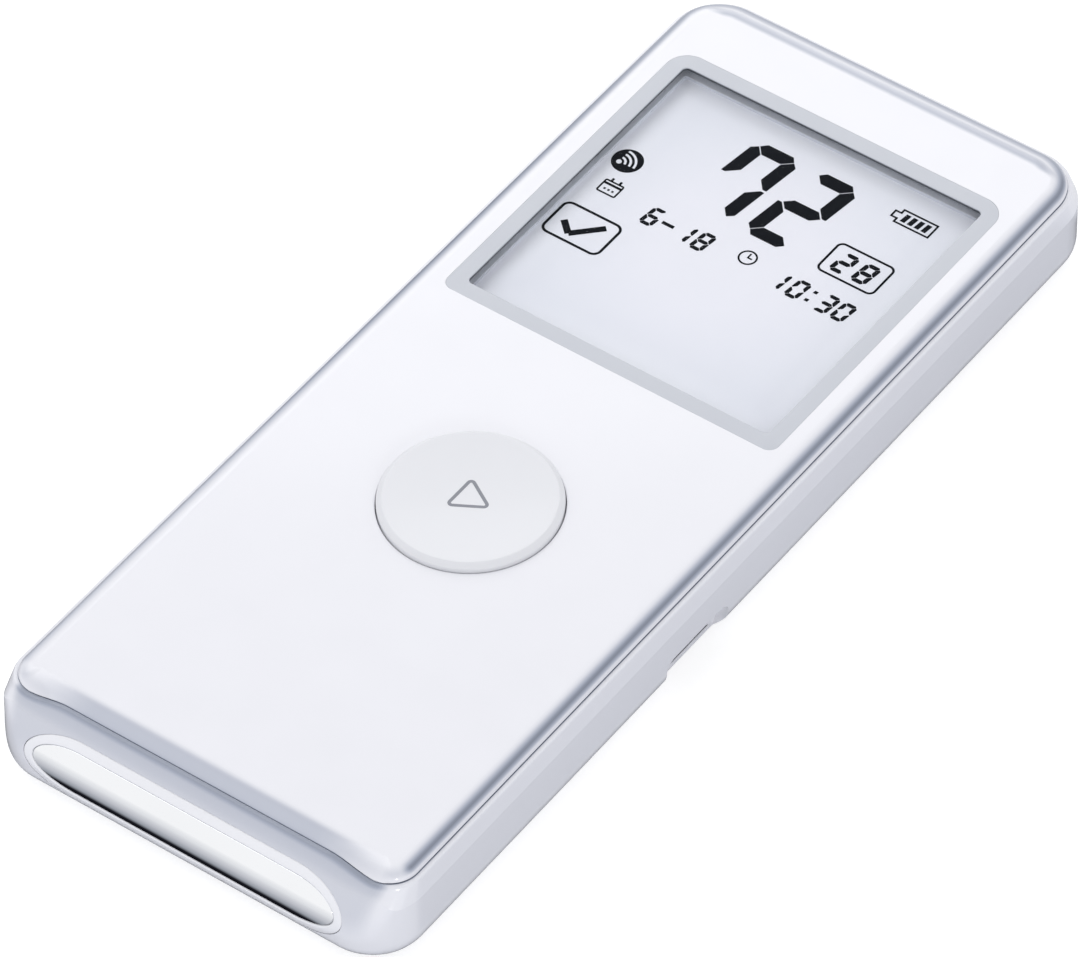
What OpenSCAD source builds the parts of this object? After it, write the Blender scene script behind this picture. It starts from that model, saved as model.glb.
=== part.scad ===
// Handheld single-lead ECG monitor, lying on its back.
// +Z is up through the top cover, +Y points at the display end and +X to the charging socket.
// The origin is under the middle of the flat back. All sizes are millimetres.

/* [Case] */
// Overall length of the case
case_len = 123.6; // [121:0.2:130]
// Overall width of the case
case_w = 49.8; // [49:0.2:53]
// Height from the back to the flat top face of the cover
case_h = 11.15; // [11.05:0.05:12.2]
// Corner radius of the case seen from above
case_corner_r = 6.2; // [5.6:0.1:7]
// Radius along the lower edge of the case
bottom_edge_r = 3.0; // [2.6:0.1:3.6]
// Wall thickness of the lower case
case_wall = 1.8; // [1.5:0.1:1.9]
// Thickness of the lower case's floor
floor_t = 1.0; // [0.9:0.05:1.2]
// Height of the leaning shoulder between the widest line and the parting line
shoulder_h = 2.2; // [1.9:0.05:2.5]
// How far the shoulder leans in along each side
side_lean = 0.9; // [0.7:0.05:1.1]
// How far the shoulder leans in over the near electrode
near_lean = 3.4; // [3.2:0.1:3.7]
// How far the shoulder leans in at the display end
far_lean = 1.3; // [1:0.1:1.5]
// How much lower the widest line runs over the near electrode
near_crease_drop = 0.65; // [0.4:0.05:0.9]
// Width of the narrow rim that the case shows round the cover
rim_lip = 0.5; // [0.3:0.05:0.6]
// How far that rim falls away from the parting line
rim_fall = 0.15; // [0.1:0.01:0.2]
// Thickness of the case's rim round the cover's lip
rim_wall = 1.6; // [1.4:0.1:1.7]

/* [Top cover] */
// Height of the flat top face above the parting line
cover_rise = 1.2; // [1.1:0.05:1.3]
// Corner radius of the cover at the parting line
cover_corner_r = 5.3; // [4.8:0.1:5.8]
// Width of the cover's rounded edge
cover_edge = 2.0; // [1.5:0.1:2.3]
// Thickness of the cover's flat top
cover_t = 1.5; // [1.35:0.05:1.6]
// How far the parting line rises in the middle of the near end
brow_rise = 0.95; // [0.6:0.05:1.05]
// Width of the raised stretch of the parting line
brow_w = 28; // [22:1:32]
// Thickness of the locating lip under the cover
lip_t = 1.0; // [0.8:0.05:1.1]
// Depth of the locating lip below the cover's underside
lip_depth = 1.5; // [1:0.1:2]

/* [Clearances] */
// Gap round a fixed piece in its seat
fit_gap = 0.05; // [0.03:0.01:0.08]
// Gap where one fixed piece slides into another
slip_gap = 0.1; // [0.08:0.01:0.15]
// Gap round a piece that moves
run_gap = 0.3; // [0.25:0.05:0.35]

/* [Display] */
// Distance from the display end to the bezel
display_from_far = 10.9; // [10.6:0.1:12]
// Width of the cover beside the bezel, measured at the parting line
bezel_side = 3.4; // [3.3:0.1:4.5]
// Length of the grey bezel
bezel_len = 42.2; // [40:0.1:42.6]
// Corner radius of the bezel
bezel_corner_r = 2.6; // [1.8:0.1:3]
// Width of the bezel's visible border
bezel_border = 1.9; // [1.7:0.1:2.2]
// Corner radius of the window in the bezel
window_corner_r = 0.6; // [0.3:0.1:1]
// Thickness of the clear window
window_t = 1.1; // [0.9:0.05:1.2]
// How far the window plate reaches under the bezel's border
window_reach = 0.9; // [0.7:0.1:1.1]
// Thickness of the foam gasket under the window
gasket_t = 0.4; // [0.3:0.05:0.5]
// Width of the foam gasket
gasket_w = 0.8; // [0.6:0.1:0.9]
// Thickness of each polarising film
film_t = 0.2; // [0.15:0.01:0.25]
// Thickness of each display glass
glass_t = 0.7; // [0.55:0.05:0.8]
// Length by which the rear glass passes the front glass to carry its contacts
glass_step = 1.8; // [1.2:0.1:2.2]
// Thickness of the backlight's light guide
guide_t = 1.2; // [1:0.1:1.3]
// Wall thickness of the display's carrier frame
frame_wall = 0.9; // [0.8:0.05:1]
// Thickness of the ledge that carries the light guide
ledge_t = 0.4; // [0.3:0.05:0.5]
// Width of the ledge that carries the light guide
ledge_w = 1.0; // [0.8:0.1:1.3]
// Width of the display's flexible connection
flex_w = 20; // [14:1:24]
// Thickness of each flexible connection
flex_t = 0.2; // [0.15:0.01:0.25]
// Depth along the board of the connector under the flexible connection
connector_len = 3.2; // [2.6:0.1:3.4]
// Height of the connector under the flexible connection
connector_h = 1.2; // [1:0.1:1.4]

/* [Start button] */
// Distance from the middle of the start button to the bezel
button_to_bezel = 22.8; // [22:0.1:24]
// Diameter of the start button
button_d = 18.9; // [17:0.1:19.3]
// Height of the button's rim above the cover
button_proud = 0.9; // [0.7:0.05:1.2]
// Depth of the shallow dish in the button's face
dish_depth = 0.25; // [0.15:0.01:0.35]
// Width of the bevel round the button's face
button_bevel = 0.45; // [0.3:0.05:0.6]
// Thickness of the button's top
button_top_t = 1.6; // [1.4:0.05:1.8]
// Thickness of the button's skirt
button_wall = 1.2; // [1:0.1:1.4]
// How far the retaining flange stands out from the skirt
flange_w = 1.1; // [0.8:0.1:1.3]
// Thickness of the retaining flange
flange_t = 0.8; // [0.6:0.05:0.9]
// How far the button travels when it is pressed
button_travel = 0.5; // [0.3:0.05:0.6]
// Diameter of the stem under the button
stem_d = 3.4; // [3:0.1:3.8]
// Diameter of the collar on the stem that rests on the return dome
collar_d = 9.8; // [9.5:0.1:10.2]
// Thickness of the collar on the stem
collar_t = 0.8; // [0.6:0.05:1]
// Outer diameter of the return dome's foot
dome_foot_d = 16.4; // [16:0.1:17]
// Thickness of the return dome's foot
dome_foot_t = 0.8; // [0.6:0.05:1]
// Wall thickness of the return dome
dome_wall = 0.7; // [0.5:0.05:0.8]
// How far the collar hangs below the cover's underside
collar_drop = 1.1; // [1:0.05:1.25]
// How far the stem reaches below its collar
stem_drop = 0.8; // [0.7:0.05:0.9]
// Width of the square tactile switch
switch_w = 6.2; // [5.8:0.1:6.4]
// Diameter of the switch plunger
plunger_d = 3.2; // [2.8:0.1:3.4]
// Radial clearance of the plunger in the switch
plunger_fit = 0.05; // [0.03:0.01:0.08]
// How far the plunger stands out of the switch
plunger_rise = 0.8; // [0.7:0.05:0.9]
// Length of the plunger inside the switch
plunger_tail = 0.8; // [0.6:0.05:1]

/* [Main board] */
// Distance from the case's sides to the main board
board_side = 4.2; // [4:0.1:4.5]
// How far the main board reaches past the middle of the start button
board_before_button = 13.8; // [13:0.1:15]
// Thickness of the main board
board_t = 1.0; // [0.8:0.05:1.1]
// How far the board passes the display at its far end
board_past_display = 1.0; // [0.6:0.1:1.1]
// Width of the board's far tongue, which carries the far contact
tongue_w = 24; // [18:1:26]
// Length of the board's far tongue
tongue_len = 4.0; // [3.8:0.1:4.4]
// Distance from the board's sides to its screws and pins
board_screw_inset = 2.5; // [2.3:0.1:2.8]
// Diameter of the posts that carry the board
post_d = 3.6; // [3.4:0.1:4]
// Diameter of the pins that locate the board
pin_d = 1.6; // [1.4:0.1:1.8]
// Thread diameter of the board screws
board_screw_d = 1.6; // [1.4:0.1:1.7]
// Head diameter of the board screws
board_head_d = 3.0; // [2.6:0.1:3.2]
// Head height of the board screws
board_head_h = 0.7; // [0.5:0.05:0.9]
// Length of the board screws below their heads
board_screw_len = 3.0; // [2.6:0.1:3.2]

/* [Chips] */
// Distance of the chip columns from the display's middle line
chip_column = 8; // [7.5:0.5:10]
// Distance between the rows of chips
chip_row = 10; // [8.5:0.5:11]
// Side of the square processor
processor_w = 7; // [6:0.5:8]
// Side of the square heart-signal amplifier
amplifier_w = 5; // [4:0.5:6]
// Length of the memory chip
memory_len = 6; // [5:0.5:7]
// Width of the memory chip
memory_w = 5; // [4:0.5:6]
// Side of the square charging chip
charger_w = 3; // [2.5:0.5:4]
// Height of the chips
chip_h = 0.9; // [0.7:0.05:1]
// Length of the clock crystal
crystal_len = 3.2; // [2.5:0.1:4]
// Width of the clock crystal
crystal_w = 1.5; // [1.2:0.1:2]
// Length of the radio module's board
radio_len = 14; // [12:0.5:16]
// Width of the radio module's board
radio_w = 10; // [9:0.5:11]
// Distance from the far edge of the main board to the radio module
radio_setback = 1.0; // [0.5:0.1:1.5]
// Thickness of the radio module's board
radio_t = 0.6; // [0.5:0.05:0.8]
// Length of the shield can on the radio module
shield_len = 9; // [8:0.5:10]
// Distance from the radio module's sides to the shield can
shield_inset = 0.5; // [0.3:0.1:0.8]
// Height of the shield can on the radio module
shield_h = 1.2; // [1:0.05:1.3]
// Wall thickness of the shield can
shield_t = 0.2; // [0.15:0.01:0.25]
// Distance of the resistors and capacitors from the display's middle line
passive_column = 14; // [13:0.5:15]
// Length of a resistor or capacitor
passive_len = 1.6; // [1:0.1:1.8]
// Width and height of a resistor or capacitor
passive_w = 0.8; // [0.5:0.1:0.8]
// Distance between neighbouring resistors or capacitors
passive_pitch = 2.4; // [2.1:0.1:2.6]
// How many resistors and capacitors stand in the row
passive_count = 8; // [4:1:10]

/* [Charging socket] */
// Distance from the middle of the start button to the middle of the charging socket
socket_from_button = 3.9; // [3:0.1:5]
// Width of the charging socket
socket_w = 7.5; // [7:0.1:7.8]
// Height of the charging socket
socket_h = 2.35; // [2.2:0.05:2.45]
// Depth of the charging socket
socket_depth = 5.0; // [4.6:0.1:5.6]
// Sheet thickness of the charging socket
socket_sheet = 0.3; // [0.2:0.05:0.35]
// Thickness of the contact tongue inside the socket
contact_tongue_t = 0.6; // [0.5:0.05:0.7]
// Space beside and in front of the contact tongue
contact_tongue_space = 0.6; // [0.5:0.05:0.8]
// Depth of the recess in the case's side round the socket
recess_depth = 1.5; // [1.3:0.05:1.6]
// Recess beyond the socket at each end
recess_margin_y = 1.5; // [1.2:0.1:1.8]
// Recess beyond the socket above and below
recess_margin_z = 0.75; // [0.5:0.05:0.9]
// Corner radius of the recess
recess_r = 1.3; // [0.8:0.1:1.4]
// Thickness of the block behind the recess that carries the socket's mouth
surround_t = 1.4; // [1.2:0.1:1.8]

/* [Battery] */
// Distance from the near end to the battery
battery_from_near = 8.9; // [8.8:0.1:9.2]
// Distance from the case's sides to the battery
battery_side = 9.4; // [9.2:0.1:11]
// Thickness of the battery pouch
battery_t = 6.4; // [5.6:0.1:6.8]
// Radius of the pouch's long edges
battery_edge_r = 2.0; // [1.5:0.1:2.2]
// Thickness of the adhesive foam pad under the battery
pad_t = 0.5; // [0.4:0.05:0.6]
// How far the pouch passes its pad at each end
pad_inset = 0.8; // [0.5:0.1:1.5]
// Thickness of the ribs round the battery
rib_t = 0.8; // [0.7:0.05:1]
// Height of the ribs round the battery
rib_h = 2.6; // [2:0.1:3]
// Length of the ribs at each corner of the battery's ends
rib_end_len = 8; // [6:0.5:9]
// Diameter of each battery lead
lead_d = 0.9; // [0.7:0.05:1]
// Distance between the two battery leads
lead_pitch = 2.0; // [1.6:0.1:2.2]
// Width of the battery plug
plug_w = 5.2; // [4.6:0.1:5.6]
// Height of the battery plug
plug_h = 1.9; // [1.7:0.1:2.1]
// Length of the battery plug
plug_len = 3.4; // [3:0.1:3.8]
// How far the plug goes into its header
plug_in = 2.2; // [1.8:0.1:2.4]
// Wall thickness of the header round the plug
header_wall = 0.5; // [0.4:0.05:0.6]
// Distance from the board's near edge to the header
header_setback = 2.2; // [2:0.1:2.4]

/* [Electrodes] */
// Distance from the case's sides to the visible face of each electrode
electrode_side = 6.5; // [6.4:0.1:7.8]
// Visible height of each electrode
electrode_h = 4.9; // [4.4:0.1:5.2]
// Length of the curved part at each end of an electrode
electrode_end = 5.2; // [4.2:0.1:5.8]
// Width of the white ring at the ends of an electrode
ring_end_w = 1.05; // [0.9:0.05:1.2]
// Width of the white ring above and below an electrode
ring_side_w = 1.05; // [0.9:0.05:1.2]
// Radius of the near electrode's curved face
near_face_r = 7; // [6.8:0.1:7.3]
// Height of the near face's centre below the parting line
near_face_drop = 6.15; // [6:0.05:6.25]
// Distance of the near face's centre from the near end
near_face_in = 7.1; // [7:0.05:7.2]
// Upward tilt of the near electrode in degrees
near_tilt = 13.5; // [12:0.5:15]
// Radius of the far electrode's curved face
far_face_r = 11; // [10:0.5:14]
// Height of the far face's centre below the parting line
far_face_drop = 4.6; // [4.5:0.05:4.7]
// Thickness of the solid seat that the case keeps round each ring
seat_margin = 1.4; // [1.2:0.1:1.6]
// Diameter of the stud behind each electrode that its contact touches
stud_d = 2.4; // [2:0.1:2.8]
// Diameter of the peg that locates the near contact's foot
peg_d = 1.4; // [1.2:0.1:1.6]
// How far the ring's crest stands out past the electrode's face
ring_proud = 0.1; // [0.05:0.05:0.15]
// How deep the ring reaches behind the electrode's face
ring_depth = 2.0; // [1.9:0.05:2.1]
// Thickness of the flange behind each electrode
electrode_flange_t = 0.7; // [0.6:0.05:0.8]
// How far the flange reaches past the electrode's visible edge
electrode_flange_w = 0.7; // [0.5:0.05:0.8]
// Thickness of the electrode's hollow metal shell
shell_t = 0.8; // [0.6:0.05:0.9]
// Width of each contact spring
contact_w = 5; // [4:0.5:6]
// Thickness of each contact spring
contact_t = 0.25; // [0.2:0.01:0.3]
// Length of each contact spring's foot
contact_foot = 2.6; // [2.2:0.1:2.8]
// Width of the flexible lead from the near contact to the board
lead_strip_w = 4; // [3:0.5:5]
// Length of the flexible lead's landing on the board
strip_landing = 2.2; // [1.8:0.1:2.6]

/* [Case screws] */
// Distance from the case's sides to the screws
screw_inset_x = 5.7; // [5.6:0.1:5.9]
// Distance from the case's ends to the screws
screw_inset_y = 8.0; // [7.9:0.1:8.1]
// Diameter of the cover's screw posts
cover_post_d = 4.0; // [3.6:0.1:4.2]
// Diameter of the case's screw pillars
pillar_d = 5.2; // [4.9:0.1:5.4]
// Height of the case's screw pillars above the back
pillar_h = 3.6; // [3.2:0.1:4]
// Thread diameter of the case screws
screw_d = 2.0; // [1.8:0.1:2.2]
// Head diameter of the case screws
screw_head_d = 3.5; // [3.2:0.1:3.6]
// Head height of the case screws
screw_head_h = 1.2; // [1:0.1:1.4]
// Depth of a screw head's seat below the back
screw_seat = 1.7; // [1.5:0.1:1.9]
// Length of the case screws below their heads
screw_len = 6.0; // [5:0.1:6.6]
// Depth of the cross recess in the screw heads
cross_depth = 0.6; // [0.4:0.05:0.7]
// Width of each arm of the cross recess
cross_w = 0.6; // [0.4:0.05:0.7]

/* [Hidden] */

// Facets of the blended shell forms; every round that a fit depends on is a true circle
form_fn = 40;
round_fn = 64;
// Steps in a quarter round of an outline or a profile
arc_steps = 6;
// Steps in each end curve of an electrode's outline
oval_steps = 8;
// A cut runs this far past the face that it opens
cut_past = 0.5;
// Thickness of the slices that the shell forms are blended from
slice_t = 0.02;
// Reach of a cut that has to leave the part altogether
far_out = 12;

near_y = -case_len / 2;
far_y = case_len / 2;
side_x = case_w / 2;
part_z = case_h - cover_rise;
crease_z = part_z - shoulder_h;
near_crease_in = near_lean * near_crease_drop / (shoulder_h + near_crease_drop);
cover_under_z = case_h - cover_t;

// Outline of the cover at the parting line
cover_near_y = near_y + near_lean;
cover_far_y = far_y - far_lean;
cover_w = case_w - 2 * side_lean;
cover_len = cover_far_y - cover_near_y;
cover_y = (cover_far_y + cover_near_y) / 2;

// The lip outline lies inside the case's rim
lip_in = rim_wall + slip_gap;
lip_w = cover_w - 2 * lip_in;
lip_len = cover_len - 2 * lip_in;
lip_r = cover_corner_r - lip_in;

// Height of the main board, which stands on the charging socket's height
board_z = floor_t + fit_gap + socket_h;
board_top = board_z + board_t;

// Display stack, counted down from the bezel's face
bezel_w = cover_w - 2 * bezel_side;
display_y = far_y - display_from_far - bezel_len / 2;
window_w = bezel_w - 2 * bezel_border;
window_len = bezel_len - 2 * bezel_border;
window_plate_w = window_w + 2 * window_reach;
window_plate_len = window_len + 2 * window_reach;
window_under_z = cover_under_z;
window_top_z = window_under_z + window_t;
gasket_z = window_under_z - gasket_t;
front_film_z = gasket_z - film_t;
front_glass_z = front_film_z - glass_t;
rear_glass_z = front_glass_z - glass_t;
rear_film_z = rear_glass_z - film_t;
guide_z = rear_film_z - guide_t;
ledge_z = guide_z - ledge_t;
cell_w = bezel_w - 2 * frame_wall - 2 * slip_gap;
cell_len = bezel_len - 2 * frame_wall - 2 * slip_gap;
frame_near_y = display_y - bezel_len / 2;
frame_far_y = display_y + bezel_len / 2;

// Start button stack
button_y = frame_near_y - button_to_bezel;
button_r = button_d / 2;
button_top_z = case_h + button_proud;
button_bore_r = button_r + run_gap;
flange_r = button_r + flange_w;
flange_top_z = cover_under_z - fit_gap;
flange_z = flange_top_z - flange_t;
dish_r = button_r - button_bevel;
stem_r = stem_d / 2;
button_hollow_z = button_top_z - button_top_t;
collar_z = cover_under_z - collar_drop;
stem_z = collar_z - stem_drop;
plunger_r = plunger_d / 2;
plunger_bore_r = plunger_r + plunger_fit;
plunger_bore_depth = plunger_tail + button_travel + slip_gap;
switch_top = stem_z - fit_gap - plunger_rise;
switch_h = switch_top - board_top;
dome_h = collar_z - fit_gap - board_top;
dome_foot_r = dome_foot_d / 2;
dome_hole_r = stem_r + run_gap;
dome_crown_r = collar_d / 2;

// Main board outline
board_w = case_w - 2 * board_side;
board_near_y = button_y - board_before_button;
board_far_y = frame_far_y + board_past_display;
tongue_far_y = board_far_y + tongue_len;
board_screw_x = board_w / 2 - board_screw_inset;
board_screw_y = board_near_y + board_screw_inset;
board_pin_y = board_far_y - board_screw_inset;
radio_y = board_far_y - radio_setback - radio_len / 2;

// Charging socket
socket_y = button_y + socket_from_button;
socket_z = board_z - socket_h;
socket_mid_z = socket_z + socket_h / 2;
recess_x = side_x - recess_depth;
socket_mouth_x = recess_x - fit_gap;
recess_len = socket_w + 2 * recess_margin_y;
recess_h = socket_h + 2 * recess_margin_z;

// Battery bay, which takes the space between the near end and the board
battery_w = case_w - 2 * battery_side;
battery_y0 = near_y + battery_from_near;
battery_y1 = board_near_y - run_gap - rib_t - slip_gap;
battery_len = battery_y1 - battery_y0;
battery_y = (battery_y0 + battery_y1) / 2;
battery_z = floor_t + pad_t;
battery_top = battery_z + battery_t;
plug_z = board_top + header_wall + slip_gap;
plug_mid_z = plug_z + plug_h / 2;
header_x = board_screw_x - board_head_d / 2 - run_gap - plug_w / 2 - slip_gap - header_wall;
header_y0 = board_near_y + header_setback;
header_len = plug_in + slip_gap + header_wall;
plug_y0 = header_y0 + plug_in - plug_len;

// Electrode faces, seats and flanges, as distances along each electrode's own axis
near_face_y = near_y + near_face_in;
near_face_z = part_z - near_face_drop;
near_cut_from = near_face_r - ring_depth - electrode_flange_t - slip_gap;
far_face_y = far_y - ring_proud - far_face_r;
far_face_z = part_z - far_face_drop;
electrode_len = case_w - 2 * electrode_side;
ring_len = electrode_len + 2 * ring_end_w;
ring_h = electrode_h + 2 * ring_side_w;
flange_len = electrode_len + 2 * electrode_flange_w;
flange_h = electrode_h + 2 * electrode_flange_w;

// Contacts, and the points where they touch the studs behind the electrodes
near_touch_u = near_face_r - ring_depth - electrode_flange_t - contact_t / 2 - slip_gap;
near_touch = [near_face_y - near_touch_u * cos(near_tilt), near_face_z + near_touch_u * sin(near_tilt)];
near_contact_foot_y = battery_y0 - rib_t - contact_foot / 2;
near_contact_z = floor_t + contact_t / 2;
near_contact_root = near_contact_foot_y - contact_foot / 2;
far_touch_u = far_face_r - ring_depth - electrode_flange_t - contact_t / 2 - slip_gap;
far_touch = [far_face_y + far_touch_u, far_face_z];
far_contact_z = board_top + contact_t / 2;

// Screws
screw_x = side_x - screw_inset_x;
screw_y = case_len / 2 - screw_inset_y;
screw_r = screw_d / 2;

WHITE_SHELL = [0.93, 0.94, 0.96];
BEZEL_GREY = [0.78, 0.80, 0.84];
STEEL = [0.80, 0.81, 0.83];
BOARD_GREEN = [0.12, 0.36, 0.22];
CHIP_BLACK = [0.10, 0.10, 0.11];
AMBER_FILM = [0.72, 0.48, 0.16];

// Outlines

module rounded_rect(w, len, r) {
    union() {
        square([w - 2 * r, len], center = true);
        square([w, len - 2 * r], center = true);
        for (sx = [-1, 1], sy = [-1, 1])
            translate([sx * (w / 2 - r), sy * (len / 2 - r)])
                circle(r, $fn = round_fn);
    }
}

module plate(w, len, t) {
    translate([-w / 2, -len / 2, 0])
        cube([w, len, t]);
}

module frame_ring(w, len, border, t) {
    difference() {
        plate(w, len, t);
        translate([0, 0, -cut_past])
            plate(w - 2 * border, len - 2 * border, t + 2 * cut_past);
    }
}

// A bent strip of constant thickness in the YZ plane, centred on x, with mitred bends
function unit(v) = v / norm(v);

function left_of(a, b) = let (d = unit(b - a)) [-d[1], d[0]];

function mitre(path, i) =
    let (last = len(path) - 1)
    let (before = left_of(path[max(i - 1, 0)], path[max(i, 1)]))
    let (after = left_of(path[min(i, last - 1)], path[min(i + 1, last)]))
    (before + after) / (1 + before * after);

module bent_strip(path, t, w) {
    last = len(path) - 1;
    left_side = [for (i = [0 : last]) path[i] + mitre(path, i) * t / 2];
    right_side = [for (i = [last : -1 : 0]) path[i] - mitre(path, i) * t / 2];
    rotate([90, 0, 90])
        linear_extrude(w, center = true)
            polygon(concat(left_side, right_side));
}

// Shell forms

function post_profile(r, edge, z0, z1) = concat(
    [[0, z0]],
    [for (i = [0 : arc_steps])
        let (a = 90 * i / arc_steps)
        [r - edge + edge * sin(a), z0 + edge - edge * cos(a)]],
    [[r, z1], [0, z1]]
);

module corner_posts(w, len, r, edge, z0, z1) {
    for (sx = [-1, 1], sy = [-1, 1])
        translate([sx * (w / 2 - r), sy * (len / 2 - r), 0])
            rotate_extrude($fn = form_fn)
                polygon(post_profile(r, edge, z0, z1));
}

module corner_slices(w, len, r, z) {
    for (sx = [-1, 1], sy = [-1, 1])
        translate([sx * (w / 2 - r), sy * (len / 2 - r), z])
            cylinder(h = slice_t, r = r, $fn = form_fn);
}

// Outer form of the closed case: lower edge, widest line, leaning shoulder and rounded cover edge
module case_form() {
    hull() {
        corner_posts(case_w, case_len, case_corner_r, bottom_edge_r, 0, crease_z - near_crease_drop);
        translate([0, near_crease_in / 2, 0])
            corner_slices(case_w, case_len - near_crease_in, case_corner_r, crease_z - slice_t / 2);
        translate([0, cover_y, 0])
            corner_slices(cover_w + 2 * rim_lip, cover_len + 2 * rim_lip, cover_corner_r + rim_lip,
                part_z - rim_fall - slice_t / 2);
        for (i = [0 : arc_steps]) {
            a = 90 * i / arc_steps;
            inset = cover_edge * (1 - cos(a));
            translate([0, cover_y, 0])
                corner_slices(cover_w - 2 * inset, cover_len - 2 * inset, cover_corner_r - inset,
                    part_z + (cover_rise - slice_t / 2) * sin(a) - slice_t / 2);
        }
        translate([-brow_w / 2, cover_near_y, part_z + brow_rise - slice_t])
            cube([brow_w, slice_t, slice_t]);
    }
}

// Space inside the lower case, open under the cover
module cavity_form() {
    inner_r = case_corner_r - case_wall;
    hull() {
        corner_posts(case_w - 2 * case_wall, case_len - 2 * case_wall, inner_r,
            min(bottom_edge_r - floor_t, inner_r - slice_t), floor_t, crease_z - floor_t);
        translate([0, cover_y, 0])
            corner_slices(cover_w - 2 * rim_wall, cover_len - 2 * rim_wall,
                cover_corner_r - rim_wall, part_z + cut_past);
    }
}

module cover_outline(gap, z0, z1) {
    translate([0, cover_y, z0])
        linear_extrude(z1 - z0)
            rounded_rect(cover_w + 2 * gap, cover_len + 2 * gap, cover_corner_r + gap);
}

module lip_outline(inset, z0, z1) {
    translate([0, cover_y, z0])
        linear_extrude(z1 - z0)
            rounded_rect(lip_w - 2 * inset, lip_len - 2 * inset, lip_r - inset);
}

// Electrode geometry

// Long oval with straight sides and elliptical ends
function oval(len, h, end) = concat(
    [for (i = [0 : oval_steps])
        let (a = -90 + 180 * i / oval_steps)
        [len / 2 - end + end * cos(a), h / 2 * sin(a)]],
    [for (i = [0 : oval_steps])
        let (a = 90 + 180 * i / oval_steps)
        [-len / 2 + end + end * cos(a), h / 2 * sin(a)]]
);

// Prism of an oval from u0 to u1 along the outward axis of an electrode
module oval_prism(len, h, end, u0, u1) {
    rotate([90, 0, 0])
        translate([0, 0, u0])
            linear_extrude(u1 - u0)
                polygon(oval(len, h, end));
}

module face_roll(r, len) {
    rotate([0, 90, 0])
        cylinder(h = len, r = r, center = true, $fn = 2 * round_fn);
}

// Places a shape that points towards -Y at the near or the far electrode's centre
module at_near_face() {
    translate([0, near_face_y, near_face_z])
        rotate([-near_tilt, 0, 0])
            children();
}

module at_far_face() {
    translate([0, far_face_y, far_face_z])
        mirror([0, 1, 0])
            children();
}

module electrode_plate(face_r) {
    back = face_r - ring_depth;
    shell_back = back - electrode_flange_t;
    difference() {
        union() {
            intersection() {
                oval_prism(electrode_len, electrode_h, electrode_end, back - fit_gap, face_r + cut_past);
                face_roll(face_r, ring_len);
            }
            oval_prism(flange_len, flange_h, electrode_end, shell_back, back - fit_gap);
        }
        difference() {
            intersection() {
                oval_prism(electrode_len - 2 * shell_t, electrode_h - 2 * shell_t,
                    electrode_end - shell_t, shell_back - cut_past, face_r);
                face_roll(face_r - shell_t, ring_len);
            }
            rotate([90, 0, 0])
                cylinder(h = face_r, r = stud_d / 2, $fn = round_fn);
        }
    }
}

module electrode_ring(face_r) {
    back = face_r - ring_depth;
    difference() {
        intersection() {
            oval_prism(ring_len, ring_h, electrode_end + ring_end_w, back, face_r + cut_past);
            face_roll(face_r + ring_proud, ring_len + cut_past);
        }
        oval_prism(electrode_len + 2 * fit_gap, electrode_h + 2 * fit_gap,
            electrode_end + fit_gap, back - cut_past, face_r + 2 * cut_past);
    }
}

// Block that the cavity leaves standing behind an electrode's ring
module electrode_seat(face_r) {
    back = face_r - ring_depth;
    oval_prism(ring_len + 2 * seat_margin, ring_h + 2 * seat_margin,
        electrode_end + ring_end_w + seat_margin, back, face_r + far_out);
}

module electrode_cut(face_r, open_from) {
    back = face_r - ring_depth;
    oval_prism(ring_len + 2 * fit_gap, ring_h + 2 * fit_gap, electrode_end + ring_end_w + fit_gap,
        back, face_r + far_out);
    oval_prism(flange_len + 2 * slip_gap, flange_h + 2 * slip_gap, electrode_end + slip_gap,
        open_from, back + cut_past);
}

// Case parts

module top_cover() {
    color(WHITE_SHELL)
    difference() {
        union() {
            intersection() {
                case_form();
                cover_outline(0, part_z, case_h + cut_past);
            }
            lip_outline(0, cover_under_z, part_z + cut_past);
            difference() {
                lip_outline(0, cover_under_z - lip_depth, cover_under_z);
                lip_outline(lip_t, cover_under_z - lip_depth - cut_past, cover_under_z);
            }
            for (sx = [-1, 1], sy = [-1, 1])
                translate([sx * screw_x, sy * screw_y, pillar_h + fit_gap])
                    cylinder(h = cover_under_z - pillar_h, r = cover_post_d / 2, $fn = round_fn);
        }
        translate([0, display_y, cover_under_z - cut_past])
            linear_extrude(cover_t + 2 * cut_past)
                rounded_rect(bezel_w + 2 * fit_gap, bezel_len + 2 * fit_gap, bezel_corner_r + fit_gap);
        translate([0, button_y, cover_under_z - cut_past])
            cylinder(h = cover_t + 2 * cut_past, r = button_bore_r, $fn = round_fn);
        for (sx = [-1, 1], sy = [-1, 1])
            translate([sx * screw_x, sy * screw_y, pillar_h - cut_past])
                cylinder(h = screw_len + cut_past, r = screw_r + fit_gap, $fn = round_fn);
    }
}

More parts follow.
